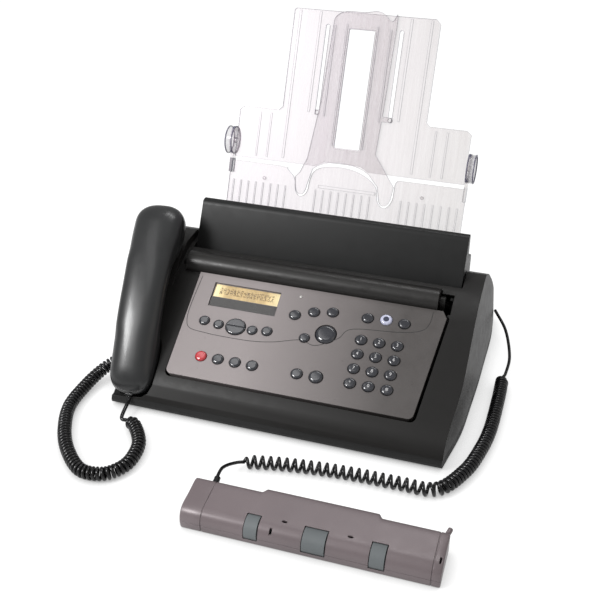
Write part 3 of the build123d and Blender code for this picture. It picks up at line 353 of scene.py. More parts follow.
def panel_pattern(mat, tone):
    """Metallic finish, lightened towards the left by a painted sheen, and the hinge barrel's darker
    grey.
    """
    # painted sheen: towards the left the panel is blended with a pale colour that stands for light
    # on its metallic finish
    pale = (0.33, 0.295, 0.295, 1)
    barrel_grey = (0.014, 0.0132, 0.0126, 1)
    left = mat.span(mat.dot(mat.place, tuple(RIGHT)), over=(-0.05, 0.11), to=(1.0, 0.0))
    paint_and_sheen = mat.mix(mat.times(left, 0.60), tone, pale)
    # the barrel runs along the rear edge
    slope = mat.distance(PANEL_UP, on_panel(0, 0, 0))
    return mat.mix(mat.span(slope, over=(0.1236, 0.1243), to=(0.0, 1.0)), paint_and_sheen, barrel_grey)


# ------------------------------------------------------------------ the materials
plastic("base_plastic", color=(0.012, 0.012, 0.012), rough=0.55, spec=0.2)
plastic("case_plastic", color=(0.0105, 0.0100, 0.0096), rough=0.44, flake=0.10, spec=0.17,
        scuff=0.04, blotch=0.04)
plastic("panel_plastic", color=(0.070, 0.064, 0.062), rough=0.38, metallic=0.25, flake=0.12,
        spec=0.35, pattern=panel_pattern)
plastic("cover_plastic", color=(0.0090, 0.0092, 0.0092), rough=0.42, spec=0.20, scuff=0.05)
plastic("handset_plastic", color=(0.0125, 0.0130, 0.0135), rough=0.34, bump=0.05, coat=0.10,
        scuff=0.04, spec=0.40, wear=0.0)
GLOSSY_KEY = dict(bump=0.02, coat=0.6, wear=0.15, scuff=0.05)
plastic("key_plastic", color=(0.016, 0.017, 0.022), rough=0.16, **GLOSSY_KEY)
plastic("stop_key_plastic", color=(0.36, 0.022, 0.030), rough=0.18, **GLOSSY_KEY)
plastic("ring_key_plastic", color=(0.42, 0.43, 0.55), rough=0.2, bump=0.02, coat=0.4, wear=0.1,
        pattern=ring_pattern)
amber_display("lcd_glass")
clear_sheet("window_plastic", face=PANEL_NORMAL, lit_and_shaded_tints=((0.10, 0.10, 0.10), (0.10, 0.10, 0.10)),
            edge_tint=(0.05, 0.05, 0.05), haze=0.04)
plastic("circuit_board", color=(0.02, 0.13, 0.05), rough=0.3, bump=0.05, pattern=board_pattern)
clear_sheet("clear_plastic", face=TRAY_NORMAL, lit_and_shaded_tints=((0.56, 0.48, 0.54), (0.40, 0.36, 0.355)),
            edge_tint=(0.060, 0.062, 0.110), haze=0.21, ears=True)
plastic("capsule_black", color=(0.02, 0.02, 0.02), rough=0.5)
plastic("switch_plastic", color=(0.03, 0.03, 0.03), rough=0.4)
plastic("cord_pvc", color=(0.0045, 0.0045, 0.005), rough=0.26, bump=0.03, coat=0.12, wear=0.0,
        scuff=0.06, spec=0.3)
plastic("scanner_plastic", color=(0.128, 0.105, 0.110), rough=0.36, metallic=0.12, flake=0.10,
        spec=0.34, scuff=0.05)
plastic("roller_rubber", color=(0.100, 0.110, 0.114), rough=0.62, grain=900.0, bump=0.25,
        spec=0.3)
plastic("sensor_housing", color=(0.02, 0.02, 0.022), rough=0.25)
plastic("platen_rubber", color=(0.025, 0.025, 0.025), rough=0.6, bump=0.2)
plastic("film_black", color=(0.010, 0.010, 0.012), rough=0.2, bump=0.04)
plastic("foot_rubber", color=(0.03, 0.03, 0.03), rough=0.75, bump=0.3)
plastic("screw_steel", color=(0.55, 0.55, 0.55), rough=0.32, metallic=1.0)
plastic("motor_steel", color=(0.42, 0.42, 0.43), rough=0.35, metallic=1.0)
plastic("head_metal", color=(0.60, 0.60, 0.60), rough=0.38, metallic=1.0)
plastic("print_ink", color=(0.55, 0.55, 0.55), rough=0.5, bump=0.0, wear=0.0)
plastic("groove_dark", color=(0.012, 0.012, 0.012), rough=0.6, wear=0.0)
plastic("mask_dark", color=(0.045, 0.043, 0.042), rough=0.35, wear=0.0)
clear_sheet("rim_plastic", face=RIGHT, lit_and_shaded_tints=((0.20, 0.19, 0.25), (0.17, 0.16, 0.21)),
            edge_tint=(0.10, 0.095, 0.14), haze=0.46)
# with no face direction the whole drum counts as rim
clear_sheet("drum_plastic", face=(0, 0, 0), lit_and_shaded_tints=((0.36, 0.35, 0.37), (0.30, 0.29, 0.30)),
            edge_tint=(0.36, 0.35, 0.37), haze=0.16, rim_cover=0.30)
plastic("led_lens", color=(0.45, 0.44, 0.42), rough=0.2, wear=0.0, coat=0.5)


# ------------------------------------------------------------------ CAD pieces
def smooth_group(limit):
    """Geometry nodes that weld and shade smooth, except across edges sharper than limit degrees."""
    group = bpy.data.node_groups.new(f"smooth_{limit}", "GeometryNodeTree")
    for direction in ("INPUT", "OUTPUT"):
        group.interface.new_socket("Geometry", in_out=direction, socket_type="NodeSocketGeometry")
    start = group.nodes.new("NodeGroupInput")
    end = group.nodes.new("NodeGroupOutput")
    weld = group.nodes.new("GeometryNodeMergeByDistance")
    weld.inputs["Distance"].default_value = 2e-6
    faces = group.nodes.new("GeometryNodeSetShadeSmooth")
    faces.domain = "FACE"
    angle = group.nodes.new("GeometryNodeInputMeshEdgeAngle")
    sharp = group.nodes.new("FunctionNodeCompare")
    sharp.data_type = "FLOAT"
    sharp.operation = "GREATER_THAN"
    sharp.inputs[1].default_value = math.radians(limit)
    edges = group.nodes.new("GeometryNodeSetShadeSmooth")
    edges.domain = "EDGE"
    edges.inputs["Shade Smooth"].default_value = False
    link = group.links.new
    link(start.outputs[0], weld.inputs["Geometry"])
    link(weld.outputs[0], faces.inputs["Geometry"])
    link(faces.outputs[0], edges.inputs["Geometry"])
    link(angle.outputs["Unsigned Angle"], sharp.inputs[0])
    link(sharp.outputs[0], edges.inputs["Selection"])
    link(edges.outputs[0], end.inputs[0])
    return group


SMOOTH = smooth_group(43)


def add_smoothing(piece):
    piece.modifiers.new("smooth", "NODES").node_group = SMOOTH


slot_of = {row["node"]: row["material_slot"] for row in frame["record"]["subparts"]}
for node_name, piece in frame["nodes"].items():
    material = MATERIALS[slot_of[node_name]]
    if not piece.data.materials:
        piece.data.materials.append(material)
    for i in range(len(piece.data.materials)):
        piece.data.materials[i] = material
    if "custom_normal" in piece.data.attributes:
        piece.data.attributes.remove(piece.data.attributes["custom_normal"])
    add_smoothing(piece)


# ------------------------------------------------------------------ mesh helpers
def to_mesh(shape, name):
    """A mesh from a bmesh, which is freed."""
    mesh = bpy.data.meshes.new(name)
    bmesh.ops.recalc_face_normals(shape, faces=shape.faces)
    shape.to_mesh(mesh)
    shape.free()
    return mesh


def link_object(name, data):
    made = bpy.data.objects.new(name, data)
    bpy.context.scene.collection.objects.link(made)
    return made


def new_piece(name, shape, body, slot=None, material=None, smooth=True):
    """An object from a mesh or bmesh; its material is the slot's unless another is named."""
    mesh = to_mesh(shape, name) if isinstance(shape, bmesh.types.BMesh) else shape
    for face in mesh.polygons:
        face.use_smooth = smooth
    mesh.materials.clear()
    mesh.materials.append(MATERIALS[material or slot])
    piece = link_object(name, mesh)
    if body:
        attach(piece, body)
    return piece


def applied(source):
    """The object's evaluated shape as a new mesh; the object is removed."""
    bpy.context.view_layer.update()
    depsgraph = bpy.context.evaluated_depsgraph_get()
    mesh = bpy.data.meshes.new_from_object(source.evaluated_get(depsgraph))
    bpy.data.objects.remove(source)
    return mesh


def cut(mesh, cutters):
    """The mesh minus each cutter; one step per cutter, because the cutters overlap."""
    target = link_object("tmp", mesh)
    tools = []
    for cutter in cutters:
        tool = link_object("cutter", to_mesh(cutter, "cutter"))
        tools.append(tool)
        boolean = target.modifiers.new("b", "BOOLEAN")
        boolean.operation = "DIFFERENCE"
        boolean.solver = "EXACT"
        boolean.object = tool
    result = applied(target)
    for tool in tools:
        bpy.data.objects.remove(tool)
    return result


def split_off(mesh, above, point, normal):
    """The part of a hollow mesh above or below a plane, as a bmesh.

    The fill closes the cut wall between the loops it left and keeps the hollow open.
    """
    part = bmesh.new()
    part.from_mesh(mesh)
    bmesh.ops.bisect_plane(part, geom=part.verts[:] + part.edges[:] + part.faces[:],
                           plane_co=point, plane_no=normal,
                           clear_inner=above, clear_outer=not above, dist=1e-7)
    bmesh.ops.remove_doubles(part, verts=part.verts, dist=1e-8)
    bmesh.ops.triangle_fill(part, use_beauty=True, use_dissolve=False,
                            edges=[edge for edge in part.edges if edge.is_boundary])
    return part


def loft(rings):
    """Closed bmesh through rings of equal length, with a fan over each end."""
    shape = bmesh.new()
    loops = [[shape.verts.new(point) for point in ring] for ring in rings]
    count = len(rings[0])
    for near, far in zip(loops, loops[1:]):
        for i in range(count):
            j = (i + 1) % count
            shape.faces.new((near[i], near[j], far[j], far[i]))
    for loop in (loops[0], loops[-1]):
        centre = shape.verts.new(sum((vert.co for vert in loop), Vector()) / count)
        for i in range(count):
            shape.faces.new((loop[i], loop[(i + 1) % count], centre))
    return shape


def turn(count):
    """Angles evenly round a full turn."""
    return np.linspace(0, 2 * math.pi, count, endpoint=False)


def oval(x, y, half_x, half_y, sides):
    return [(x + half_x * math.cos(angle), y + half_y * math.sin(angle))
            for angle in turn(sides)]


def circle(x, y, radius, sides):
    return oval(x, y, radius, radius, sides)


def rectangle(x1, x2, y1, y2):
    return [(x1, y1), (x2, y1), (x2, y2), (x1, y2)]


def rounded_rectangle(x, y, width, depth, radius, corner_steps=6):
    side, end = width / 2 - radius, depth / 2 - radius
    points = []
    for corner_x, corner_y, start in ((side, end, 0), (-side, end, 90),
                                      (-side, -end, 180), (side, -end, 270)):
        for step in range(corner_steps + 1):
            angle = math.radians(start + 90 * step / corner_steps)
            points.append((x + corner_x + radius * math.cos(angle),
                           y + corner_y + radius * math.sin(angle)))
    return points


def prism(outline, heights, onto):
    """Outline in the first two coordinates, run through heights in the third."""
    return loft([[onto(x, y, height) for x, y in outline] for height in heights])


def bar(outline, ends, onto=machine):
    """Outline in the last two coordinates, run between ends in the first."""
    return loft([[onto(end, y, z) for y, z in outline] for end in ends])


def domed_disc(x, y, radius, low, high, onto, crown=0.5):
    levels = ((1, low), (1, high - crown), (0.8, high - crown * 0.35), (0.45, high))
    return loft([[onto(px, py, height) for px, py in circle(x, y, scale * radius, 28)]
                 for scale, height in levels])


# ------------------------------------------------------------------ curve helpers
def unit_rows(vectors):
    return vectors / np.linalg.norm(vectors, axis=1)[:, None]


def tangents(path):
    return unit_rows(np.gradient(path, axis=0))


def arc_lengths(path):
    return np.r_[0, np.cumsum(np.linalg.norm(np.diff(path, axis=0), axis=1))]


def points_at(path, stops):
    """Points at the given arc lengths along a path."""
    arc = arc_lengths(path)
    return np.stack([np.interp(stops, arc, column) for column in path.T], axis=1)


def smooth_curve(points, step):
    """Points about every step along a Catmull-Rom curve, and their arc lengths."""
    knots = np.array(points, float)
    knots = np.vstack([2 * knots[0] - knots[1], knots, 2 * knots[-1] - knots[-2]])
    dense = []
    for i in range(1, len(knots) - 2):
        before, start, end, after = knots[i - 1:i + 3]
        for t in np.linspace(0, 1, 40, endpoint=False):
            dense.append(0.5 * ((2 * start) + (end - before) * t
                                + (2 * before - 5 * start + 4 * end - after) * t * t
                                + (3 * start - before - 3 * end + after) * t ** 3))
    dense.append(knots[-2])
    dense = np.array(dense)
    length = arc_lengths(dense)[-1]
    stops = np.linspace(0, length, max(2, int(round(length / step)) + 1))
    return points_at(dense, stops), stops


def thin_out(path, step):
    """A dense path resampled about every step."""
    length = arc_lengths(path)[-1]
    return points_at(path, np.linspace(0, length, max(2, int(length / step))))


def tube(path, radius, sides):
    """Round tube along a path in machine millimetres, carried along without twisting."""
    directions = tangents(path)
    first = directions[0]
    upright = np.array([0.0, 0.0, 1.0]) if abs(first[2]) < 0.9 else np.array([1.0, 0.0, 0.0])
    normal = upright - first * (upright @ first)
    normal /= np.linalg.norm(normal)
    rings = []
    for point, direction in zip(path, directions):
        normal = normal - direction * (normal @ direction)
        normal /= np.linalg.norm(normal)
        side = np.cross(direction, normal)
        rings.append([machine(*(point + radius * (math.cos(a) * normal + math.sin(a) * side)))
                      for a in turn(sides)])
    return loft(rings)


def smooth_tube(points, step, radius, sides):
    return tube(smooth_curve(points, step)[0], radius, sides)


# ------------------------------------------------------------------ handset
HALF_LENGTH = 107.0
END_ROUNDING = 25.0  # length over which each end closes
HANDSET_WALL = 2.2
UPPER_EDGE, LOWER_EDGE = -8.8, -9.3  # heights of the two shells' meeting edges
# (along, height) of the underside
UNDERSIDE = [(-107, -29), (-94, -31), (-74, -33.5), (-52, -29), (-34, -17), (0, -13.5),
             (34, -16), (54, -31), (76, -37), (94, -35), (107, -33)]
# (along, width)
WIDTHS = [(-107, 46), (-74, 48), (-34, 47), (0, 47), (34, 49), (76, 55), (107, 55)]
# (along, radius of the ring of holes, height) of the two groups of holes in the underside
HOLE_GROUPS = [(76.0, 6.5, -37.0), (-78.0, 4.5, -33.4)]
HOLE_RADIUS = 1.1


def monotone(table, x):
    """Height at x of a cubic through the table's points that never overshoots them."""
    xs, ys = np.array(table, float).T
    gaps = np.diff(xs)
    slopes = np.diff(ys) / gaps
    knot_slopes = np.zeros(len(xs))
    for i in range(1, len(xs) - 1):
        if slopes[i - 1] * slopes[i] > 0:
            before = 2 * gaps[i] + gaps[i - 1]
            after = gaps[i] + 2 * gaps[i - 1]
            knot_slopes[i] = (before + after) / (before / slopes[i - 1] + after / slopes[i])
    knot_slopes[0], knot_slopes[-1] = slopes[0], slopes[-1]
    i = np.clip(np.searchsorted(xs, x) - 1, 0, len(xs) - 2)
    t = (x - xs[i]) / gaps[i]
    return ((2 * t ** 3 - 3 * t ** 2 + 1) * ys[i]
            + (t ** 3 - 2 * t ** 2 + t) * gaps[i] * knot_slopes[i]
            + (-2 * t ** 3 + 3 * t ** 2) * ys[i + 1]
            + (t ** 3 - t ** 2) * gaps[i] * knot_slopes[i + 1])


def signed_power(value, power):
    return math.copysign(abs(value) ** power, value)


def handset_form(inset, sides):
    """The outer form, or the hollow when inset is the wall's thickness."""
    fractions = np.concatenate([np.linspace(0.015, 0.22, 12, endpoint=False),
                                np.linspace(0.22, 0.78, 70, endpoint=False),
                                np.linspace(0.78, 0.985, 12)])
    straight = HALF_LENGTH - END_ROUNDING
    rings = []
    for fraction in fractions:
        along = -HALF_LENGTH * math.cos(math.pi * fraction)
        fullness = 1.0
        if abs(along) > straight:
            into_end = (abs(along) - straight) / (HALF_LENGTH - straight)
            fullness = (1 - into_end ** 2.5) ** (1 / 2.5)
        top = 11.5 - 11.5 * (along / 96.0) ** 2
        bottom = monotone(UNDERSIDE, along)
        middle = (top + bottom) / 2
        half_top = max(0.05, (top - middle) * fullness - inset)
        half_bottom = max(0.05, (middle - bottom) * fullness - inset)
        half_width = max(0.05, monotone(WIDTHS, along) / 2 * fullness - inset)
        ring = []
        for angle in turn(sides):
            cosine, sine = math.cos(angle), math.sin(angle)
            # the underside is squarer than the top
            power = 2.0 / (2.5 if sine > 0 else 3.2)
            half_height = half_top if sine > 0 else half_bottom
            ring.append(on_handset(along * (HALF_LENGTH - inset) / HALF_LENGTH,
                                   signed_power(cosine, power) * half_width,
                                   middle + signed_power(sine, power) * half_height))
        rings.append(ring)
    return loft(rings)


def handset_cutters():
    """Round holes in the underside, and the socket in the front end."""
    cutters = []
    for along, ring_radius, height in HOLE_GROUPS:
        for offset, across in [(0, 0)] + circle(0, 0, ring_radius, 6):
            cutters.append(prism(circle(along + offset, across, HOLE_RADIUS, 14),
                                 (height - 6, height + 3.0), on_handset))
    cutters.append(bar(rectangle(-4.5, 4.5, -19, -13.2), (-112.0, -97.0), on_handset))
    return cutters


handset_whole = cut(to_mesh(handset_form(0.0, sides=56), "handset_solid"),
                    [handset_form(HANDSET_WALL, sides=40)])
handset_upper = new_piece(
    "handset_upper",
    split_off(handset_whole, True, on_handset(0, 0, UPPER_EDGE), HANDSET_NORMAL),
    "handset", slot="handset_plastic")
lower_part = split_off(handset_whole, False, on_handset(0, 0, LOWER_EDGE), HANDSET_NORMAL)
handset_lower = new_piece("handset_lower", cut(to_mesh(lower_part, "low"), handset_cutters()),
                          "handset", slot="handset_plastic")
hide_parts("handset_top_shell")
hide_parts("handset_bottom_shell")
for shell in (handset_upper, handset_lower):
    add_smoothing(shell)

# ------------------------------------------------------------------ cords
TABLE_COIL_Z = 7.6  # centre height of a coil lying on the table
WIRE_RADIUS = 1.75
COIL_RADIUS = 5.5
PLUG_HEIGHT = -16.1
LEAD_START = handset_point(-108.5, 0, PLUG_HEIGHT)
LEAD_END = (-145.0, -26.0, TABLE_COIL_Z)
LEAD = [tuple(LEAD_START), tuple(LEAD_START + Vector((0.5, -4.0, -4.5))),
        (-152.0, -24.5, 8.6), LEAD_END]

# centre lines, (x, y, z): from the lead round the left side, and from the scanner round the right
HANDSET_CORD = [LEAD_END] + [(x, y, TABLE_COIL_Z) for x, y in (
    (-133.5, -32.0), (-118.0, -55.0), (-115.0, -80.0), (-121.0, -96.0), (-134.0, -106.5),
    (-156.0, -106.5), (-181.0, -85.0), (-200.0, -57.0), (-213.5, -22.0))] + [
    (-213.0, 15.0, 9.0), (-205.0, 40.0, 14.0), (-192.0, 51.0, 21.0), (-186.0, 52.0, 22.0)]
SCANNER_CORD = [
    (-18.5, -95.0, 20.5), (-20.5, -84.0, 19.5), (-21.5, -70.0, 15.0), (-17.0, -56.0, 9.0)] + [
    (x, y, TABLE_COIL_Z) for x, y in (
        (-6.0, -49.0), (26.0, -42.0), (65.0, -37.0), (104.0, -34.5), (143.0, -34.0),
        (178.0, -31.0), (199.0, 1.0), (209.0, 36.0), (214.0, 70.0), (215.5, 120.0),
        (215.5, 160.0))] + [
    (217.5, 170.0, 9.0), (218.0, 198.0, 13.0), (208.0, 238.0, 20.0), (191.5, 268.0, 26.0)]
# (place, pitch of the coil there); the coil runs from the first place to the last
SCANNER_PITCHES = [((-9, -51, TABLE_COIL_Z), 8.0), ((172, -32, TABLE_COIL_Z), 7.6),
                   ((190, -16, TABLE_COIL_Z), 4.3), ((215.5, 160, TABLE_COIL_Z), 4.2)]


def coiled_wire(line, arc, pitch, start, end, fade_in, fade_out):
    """Wire wound about a centre line between two arc lengths, fading to the line at both."""
    along = tangents(line)
    up = np.array([0.0, 0.0, 1.0])
    normal = unit_rows(up - along * (along @ up)[:, None])
    side = np.cross(along, normal)
    phase = np.r_[0, np.cumsum(2 * np.pi * np.diff(arc) / pitch[1:])]
    fade = np.clip(np.minimum((arc - start) / fade_in, (end - arc) / fade_out), 0, 1)
    radius = COIL_RADIUS * fade
    wire = line + radius[:, None] * (np.cos(phase)[:, None] * normal
                                     + np.sin(phase)[:, None] * side)
    return tube(thin_out(wire, 0.95), WIRE_RADIUS, 8)


def handset_coil():
    line, arc = smooth_curve(HANDSET_CORD, 0.175)
    return coiled_wire(line, arc, np.full(len(arc), 4.3), start=0, end=arc[-1],
                       fade_in=5.0, fade_out=5.0)


def scanner_coil():
    line, arc = smooth_curve(SCANNER_CORD, 0.2)
    stops = [arc[np.argmin(np.linalg.norm(line - np.array(place), axis=1))]
             for place, _ in SCANNER_PITCHES]
    pitch = np.interp(arc, stops, [pitch for _, pitch in SCANNER_PITCHES])
    return coiled_wire(line, arc, pitch, start=stops[0], end=stops[-1],
                       fade_in=5.0, fade_out=4.0)


def plug():
    """Rectangular plug whose outer end tapers."""
    return loft([[on_handset(along, across, height) for across, height in rectangle(
        -4.0 * scale, 4.0 * scale, PLUG_HEIGHT - 2.4 * scale, PLUG_HEIGHT + 2.4 * scale)]
        for along, scale in ((-98.0, 1.0), (-107.5, 1.0), (-109.0, 0.8))])


new_piece("handset_plug", plug(), "handset", slot="cord_pvc", smooth=False)
lead = new_piece("handset_cord_lead", smooth_tube(LEAD, 0.8, 2.0, 10), None, slot="cord_pvc")
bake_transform(lead)
handset_cord = new_piece("handset_cord_coil", handset_coil(), "base", slot="cord_pvc")
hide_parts("handset_cord")

scanner_cord = new_piece("scanner_cord_coil", scanner_coil(), None, slot="cord_pvc")
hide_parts("scanner_cord")
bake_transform(scanner_cord)
BOOT = [(-18.5, -101.5, 21.0), (-18.4, -96.0, 20.7), (-19.0, -91.0, 20.4)]
new_piece("scanner_cord_boot", smooth_tube(BOOT, 0.8, 3.1, 14), "hand_scanner", slot="cord_pvc")

# ------------------------------------------------------------------ hand scanner shells
# cross-sections, (y, z): up the front, over the top and down the rear
SLIM_SECTION = [
    (-141.2, 1.2), (-142.0, 5.0), (-142.2, 9.0), (-141.4, 14.0), (-138.8, 18.6), (-134.5, 21.4),
    (-128.5, 22.6), (-116.0, 23.6), (-104.0, 24.5), (-100.0, 24.0), (-98.0, 22.0),
    (-97.5, 19.0), (-97.5, 1.2)]
# the same front, with the rear carried further back
DEEP_SECTION = SLIM_SECTION[:7] + [
    (-114.0, 23.7), (-99.0, 24.7), (-95.0, 24.0), (-93.1, 22.0), (-92.5, 19.0), (-92.5, 1.2)]
SECTION_CENTRE = (-118.0, 12.0)
SCANNER_WALL = 2.0
BAND_AXIS = (-131.6, 11.7)  # y, z
BANDS = ((25.0, 37.0), (78.5, 99.0), (139.0, 152.0))  # x ranges
BAND_GAP = 0.8


def section(deepness, inset, count):
    """Closed section between slim (0) and deep (1), drawn in by inset, as count points."""
    corners = np.array(SLIM_SECTION) * (1 - deepness) + np.array(DEEP_SECTION) * deepness
    curve, _ = smooth_curve(corners[:-1], 1.2)
    bottom = np.linspace(corners[-1], corners[0], 22)[1:-1]
    loop = np.vstack([curve, corners[-1:], bottom])
    inward = np.array([SECTION_CENTRE]) - loop
    loop = loop + inset * inward / np.linalg.norm(inward, axis=1)[:, None]
    loop = np.vstack([loop, loop[:1]])
    return points_at(loop, np.linspace(0, arc_lengths(loop)[-1], count, endpoint=False))


def change_over(start, sign):
    """Stations easing from slim to deep (sign 1) or from deep to slim (sign -1)."""
    return [(start + 0.8 * i, (1 - sign * math.cos(math.pi * i / 6)) / 2, 0.0)
            for i in range(7)]


# (x, deepness, inset), left to right, with a shallow groove near each end
STATIONS = [
    (-36.5, 0, 1.2), (-36.1, 0, 0.5), (-35.2, 0, 0.0),
    (-16.7, 0, 0.0), (-16.4, 0, 0.55), (-15.7, 0, 0.55), (-15.4, 0, 0.0),
    (0.0, 0, 0.0), (15.0, 0, 0.0), (24.0, 0, 0.0),
    *change_over(28.0, 1),
    (50.0, 1, 0.0), (70.0, 1, 0.0), (90.0, 1, 0.0), (110.0, 1, 0.0), (128.0, 1, 0.0),
    *change_over(136.2, -1),
    (160.0, 0, 0.0), (180.0, 0, 0.0),
    (192.3, 0, 0.0), (192.6, 0, 0.55), (193.3, 0, 0.55), (193.6, 0, 0.0),
    (199.8, 0, 0.0), (200.6, 0, 0.5), (201.0, 0, 1.2)]


def scanner_form():
    return loft([[machine(x, y, z) for y, z in section(deepness, inset, 110)]
                 for x, deepness, inset in STATIONS])


def scanner_hollow():
    inner = [(x, deepness) for x, deepness, _ in STATIONS if -34.0 < x < 198.0]
    return loft([[machine(x, y, z) for y, z in section(deepness, SCANNER_WALL, 90)]
                 for x, deepness in [(-34.2, 0)] + inner + [(198.7, 0)]])


def shared_cutters():
    """Round bands, a narrow bore on their axis and a long chamber behind it."""
    cutters = [bar(circle(*BAND_AXIS, 12.0, 40), (left - BAND_GAP, right + BAND_GAP))
               for left, right in BANDS]
    cutters.append(bar(circle(*BAND_AXIS, 3.4, 24), (-33.4, 197.9)))
    cutters.append(bar(rectangle(-119.0, -106.5, -1.0, 17.6), (-27.6, 192.2)))
    return cutters


def upper_cutters():
    """Two oval holes in the top, then slots at the front, the right of the top and the left end."""
    ovals = [prism(oval(x, -127.5, 2.7, 1.4, 24), (21.0, 30.0), machine) for x in (59.0, 119.0)]
    return ovals + [bar(rectangle(-144.0, -136.0, 15.5, 26.0), (48.2, 50.6)),
                    bar(rectangle(-134.0, -127.0, 20.6, 30.0), (197.2, 199.2)),
                    bar(rectangle(-131.0, -127.0, 14.0, 18.0), (-37.5, -34.6))]


def scanner_shell(name, cad_name, above, z, cutters):
    part = to_mesh(split_off(scanner_whole, above, machine(0, 0, z), UP), "part")
    shell = new_piece(name, cut(part, cutters), "hand_scanner", slot="scanner_plastic")
    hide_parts(cad_name)
    add_smoothing(shell)


scanner_whole = cut(to_mesh(scanner_form(), "scanner_whole"), [scanner_hollow()])
scanner_shell("scanner_upper", "scanner_top_case", above=True, z=9.0,
              cutters=shared_cutters() + upper_cutters())
scanner_shell("scanner_lower", "scanner_bottom_case", above=False, z=8.7,
              cutters=shared_cutters())
NUB = [(198.5, -97.0, 20.5), (199.5, -93.5, 20.8), (199.8, -91.5, 20.8)]
new_piece("scanner_rear_nub", smooth_tube(NUB, 0.6, 2.4, 14), "hand_scanner",
          slot="scanner_plastic")

# ------------------------------------------------------------------ panel details
# (x, slope) along the line that borders the keys, left to right
BORDER = [(-118.6, 119.3), (-120.4, 80.0), (-118.5, 62.8), (-112.4, 54.8), (-95.0, 52.6),
          (-77.0, 51.8), (-43.3, 52.3), (-18.0, 56.0), (8.8, 63.5), (26.0, 60.2), (47.5, 72.5),
          (60.0, 86.0), (109.2, 91.6), (131.0, 98.0), (137.0, 108.0), (138.0, 120.5)]
BORDER_HALF_WIDTH = 0.32
BORDER_LOW, BORDER_HIGH = 0.25, 0.36

PAD_X, PAD_SLOPE = 90.8, 50.65  # centre of the dial keys
PAD_PITCH_X, PAD_PITCH_SLOPE = 19.13, 16.54
SIGN_HEIGHT = 2.72
# rows from the rear to the front, each from left to right
PAD_KEYS = ("1", "2", "3", "4", "5", "6", "7", "8", "9", "star", "0", "hash")
SPECIAL_SIGNS = {"star": "*", "hash": "#"}


def border_line():
    line, _ = smooth_curve(BORDER, 1.5)
    along = tangents(line)
    sideways = BORDER_HALF_WIDTH * np.stack([-along[:, 1], along[:, 0]], axis=1)
    return loft([[on_panel(*(point + offset), BORDER_LOW), on_panel(*(point - offset), BORDER_LOW),
                  on_panel(*(point - offset), BORDER_HIGH),
                  on_panel(*(point + offset), BORDER_HIGH)]
                 for point, offset in zip(line, sideways)])


def sign_mesh(sign, place):
    """A thin raised character lying on the panel's slope."""
    text = bpy.data.curves.new("sign", "FONT")
    text.body = sign
    text.size = 0.0052
    text.extrude = 0.00004
    text.resolution_u = 3
    text.align_x = "CENTER"
    text.align_y = "CENTER"
    mesh = applied(link_object("sign", text))
    pose = Matrix((RIGHT, PANEL_UP, PANEL_NORMAL)).transposed().to_4x4()
    pose.translation = place
    mesh.transform(pose)
    return mesh


new_piece("panel_border_line", border_line(), "control_panel", material="groove_dark",
          smooth=False)
mask_outline = rounded_rectangle(-63.6, 91.7, width=74.4, depth=11.6, radius=0.4)
new_piece("display_mask", prism(mask_outline, (-1.49, -1.43), on_panel), "control_panel",
          material="mask_dark", smooth=False)
new_piece("message_led", domed_disc(-3.6, 113.4, 1.5, 0.2, 1.1, on_panel), "control_panel",
          material="led_lens")
for index, key in enumerate(PAD_KEYS):
    row, column = divmod(index, 3)
    place = on_panel(PAD_X + (column - 1) * PAD_PITCH_X,
                     PAD_SLOPE + (1.5 - row) * PAD_PITCH_SLOPE, SIGN_HEIGHT)
    new_piece(f"sign_on_key_{key}", sign_mesh(SPECIAL_SIGNS.get(key, key), place),
              f"key_{key}", material="print_ink", smooth=False)

# ------------------------------------------------------------------ clear tray details
PIVOT_SLOPE = 116.5
PIVOT_RADIUS = 15.4


def add_pivot_ring(shape, x, half_width, half_depth, sides):
    """Adds a closed ring of oval section round the pivot axis, which runs across the tray."""
    loops = []
    for angle in turn(72):
        loop = []
        for offset, rise in [(math.sin(b), math.cos(b)) for b in turn(sides)]:
            reach = PIVOT_RADIUS + half_depth * rise
            loop.append(shape.verts.new(on_tray(x + half_width * offset,
                                                PIVOT_SLOPE + reach * math.sin(angle),
                                                reach * math.cos(angle))))
        loops.append(loop)
    for near, far in zip(loops, loops[1:] + loops[:1]):
        for i in range(sides):
            j = (i + 1) % sides
            shape.faces.new((near[i], near[j], far[j], far[i]))


for side, where in ((-1, "left"), (1, "right")):
    rim = bmesh.new()
    add_pivot_ring(rim, side * 135.3, half_width=0.9, half_depth=1.0, sides=10)
    add_pivot_ring(rim, side * 142.6, half_width=0.8, half_depth=0.9, sides=10)
    new_piece(f"pivot_rim_{where}", rim, "paper_tray", slot="clear_plastic",
              material="rim_plastic")
    drum = bmesh.new()
    add_pivot_ring(drum, side * 139.0, half_width=3.2, half_depth=0.55, sides=16)
    new_piece(f"pivot_drum_{where}", drum, "paper_tray", slot="clear_plastic",
              material="drum_plastic")
for where, x, slope in (("left", -94.0, 77.5), ("right", 89.8, 78.5)):
    new_piece(f"tray_boss_{where}", domed_disc(x, slope, 2.1, 1.1, 2.7, on_tray), "paper_tray",
              slot="clear_plastic")


# ------------------------------------------------------------------ stage, light, camera
def floor_material():
    mat = Material("floor")
    # soft contact shadow where something comes close to the table
    openness = mat.node("ShaderNodeAmbientOcclusion", {"samples": 8}, Distance=0.022)
    glow = mat.span(openness.outputs["AO"], over=(0.0, 0.85), to=(0.18, 0.95))
    surface = mat.node("ShaderNodeBsdfPrincipled", Roughness=0.9,
                       Base_Color=(0.14, 0.14, 0.14, 1), Emission_Color=(1, 1, 1, 1),
                       Emission_Strength=glow)
    # seen from below the floor is transparent, so the feet and the base show
    below = mat.node("ShaderNodeNewGeometry").outputs["Backfacing"]
    clear = mat.node("ShaderNodeBsdfTransparent")
    either = mat.node("ShaderNodeMixShader")
    for key, value in enumerate((below, surface.outputs[0], clear.outputs[0])):
        mat.put(either, key, value)
    mat.finish(either)


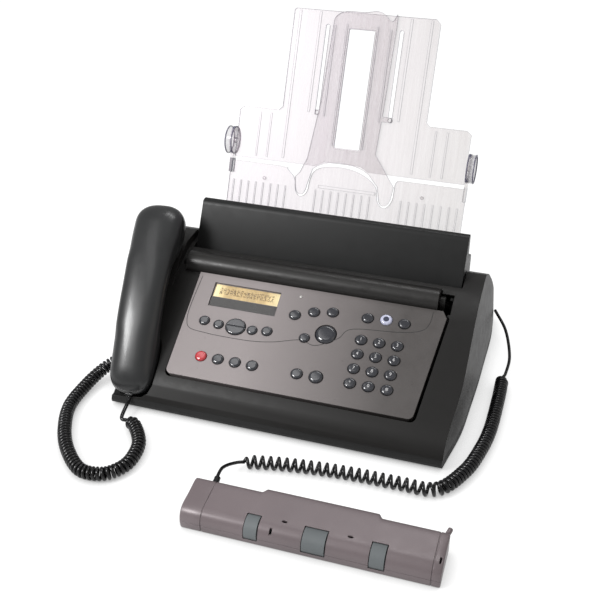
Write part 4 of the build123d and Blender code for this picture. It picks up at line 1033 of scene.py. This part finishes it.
def add_world():
    """White surroundings, brighter to the camera than as a light."""
    world = bpy.data.worlds.new("world")
    bpy.context.scene.world = world
    world.use_nodes = True
    tree = world.node_tree
    background = tree.nodes["Background"]
    background.inputs[0].default_value = (1, 1, 1, 1)
    seen = tree.nodes.new("ShaderNodeLightPath").outputs["Is Camera Ray"]
    level = tree.nodes.new("ShaderNodeMapRange")
    level.inputs["To Min"].default_value = 0.50
    level.inputs["To Max"].default_value = 1.05
    tree.links.new(seen, level.inputs["Value"])
    tree.links.new(level.outputs["Result"], background.inputs[1])


def add_area(name, place, target, size, power, tint=(1.0, 1.0, 1.0)):
    light = bpy.data.lights.new(name, "AREA")
    light.shape = "RECTANGLE"
    light.size, light.size_y = size
    light.energy = power
    light.color = tint
    lamp = link_object(name, light)
    lamp.location = place
    aim = Vector(target) - Vector(place)
    lamp.rotation_euler = aim.to_track_quat("-Z", "Y").to_euler()


def add_camera():
    camera = bpy.data.cameras.new("camera")
    camera.lens = 56.58
    camera.sensor_width = 36.0
    camera.clip_start = 0.01
    camera.clip_end = 50
    holder = link_object("camera", camera)
    swing, dip = math.radians(17.31), math.radians(32.22)  # to the left, and down
    forward = Vector((-math.sin(swing) * math.cos(dip), math.cos(swing) * math.cos(dip),
                      -math.sin(dip)))
    holder.location = machine(249.90, -694.77, 630.55)
    holder.rotation_mode = "QUATERNION"
    holder.rotation_quaternion = forward.to_track_quat("-Z", "Y")
    bpy.context.scene.camera = holder


bpy.ops.mesh.primitive_plane_add(size=12, location=(0, 0, 0))
floor = bpy.context.object
floor.name = "floor"
floor_material()
floor.data.materials.append(MATERIALS["floor"])
add_world()
add_area("key", place=(-0.78, -0.90, 1.02), target=(-0.10, 0.0, 0.06), size=(0.42, 0.42),
         power=24.0)
add_area("top", place=(0.05, 0.62, 1.5), target=(0.0, 0.05, 0.08), size=(0.8, 0.25), power=6.0)
add_area("sheen", place=(-0.34, -0.30, 1.34), target=(-0.06, -0.06, 0.06), size=(0.80, 0.26),
         power=1.6)
add_area("fill", place=(1.3, -0.5, 0.8), target=(0.0, 0.0, 0.05), size=(0.9, 0.9), power=1.1,
         tint=(1.0, 0.86, 0.74))
add_camera()
bpy.context.scene.view_settings.view_transform = "Standard"
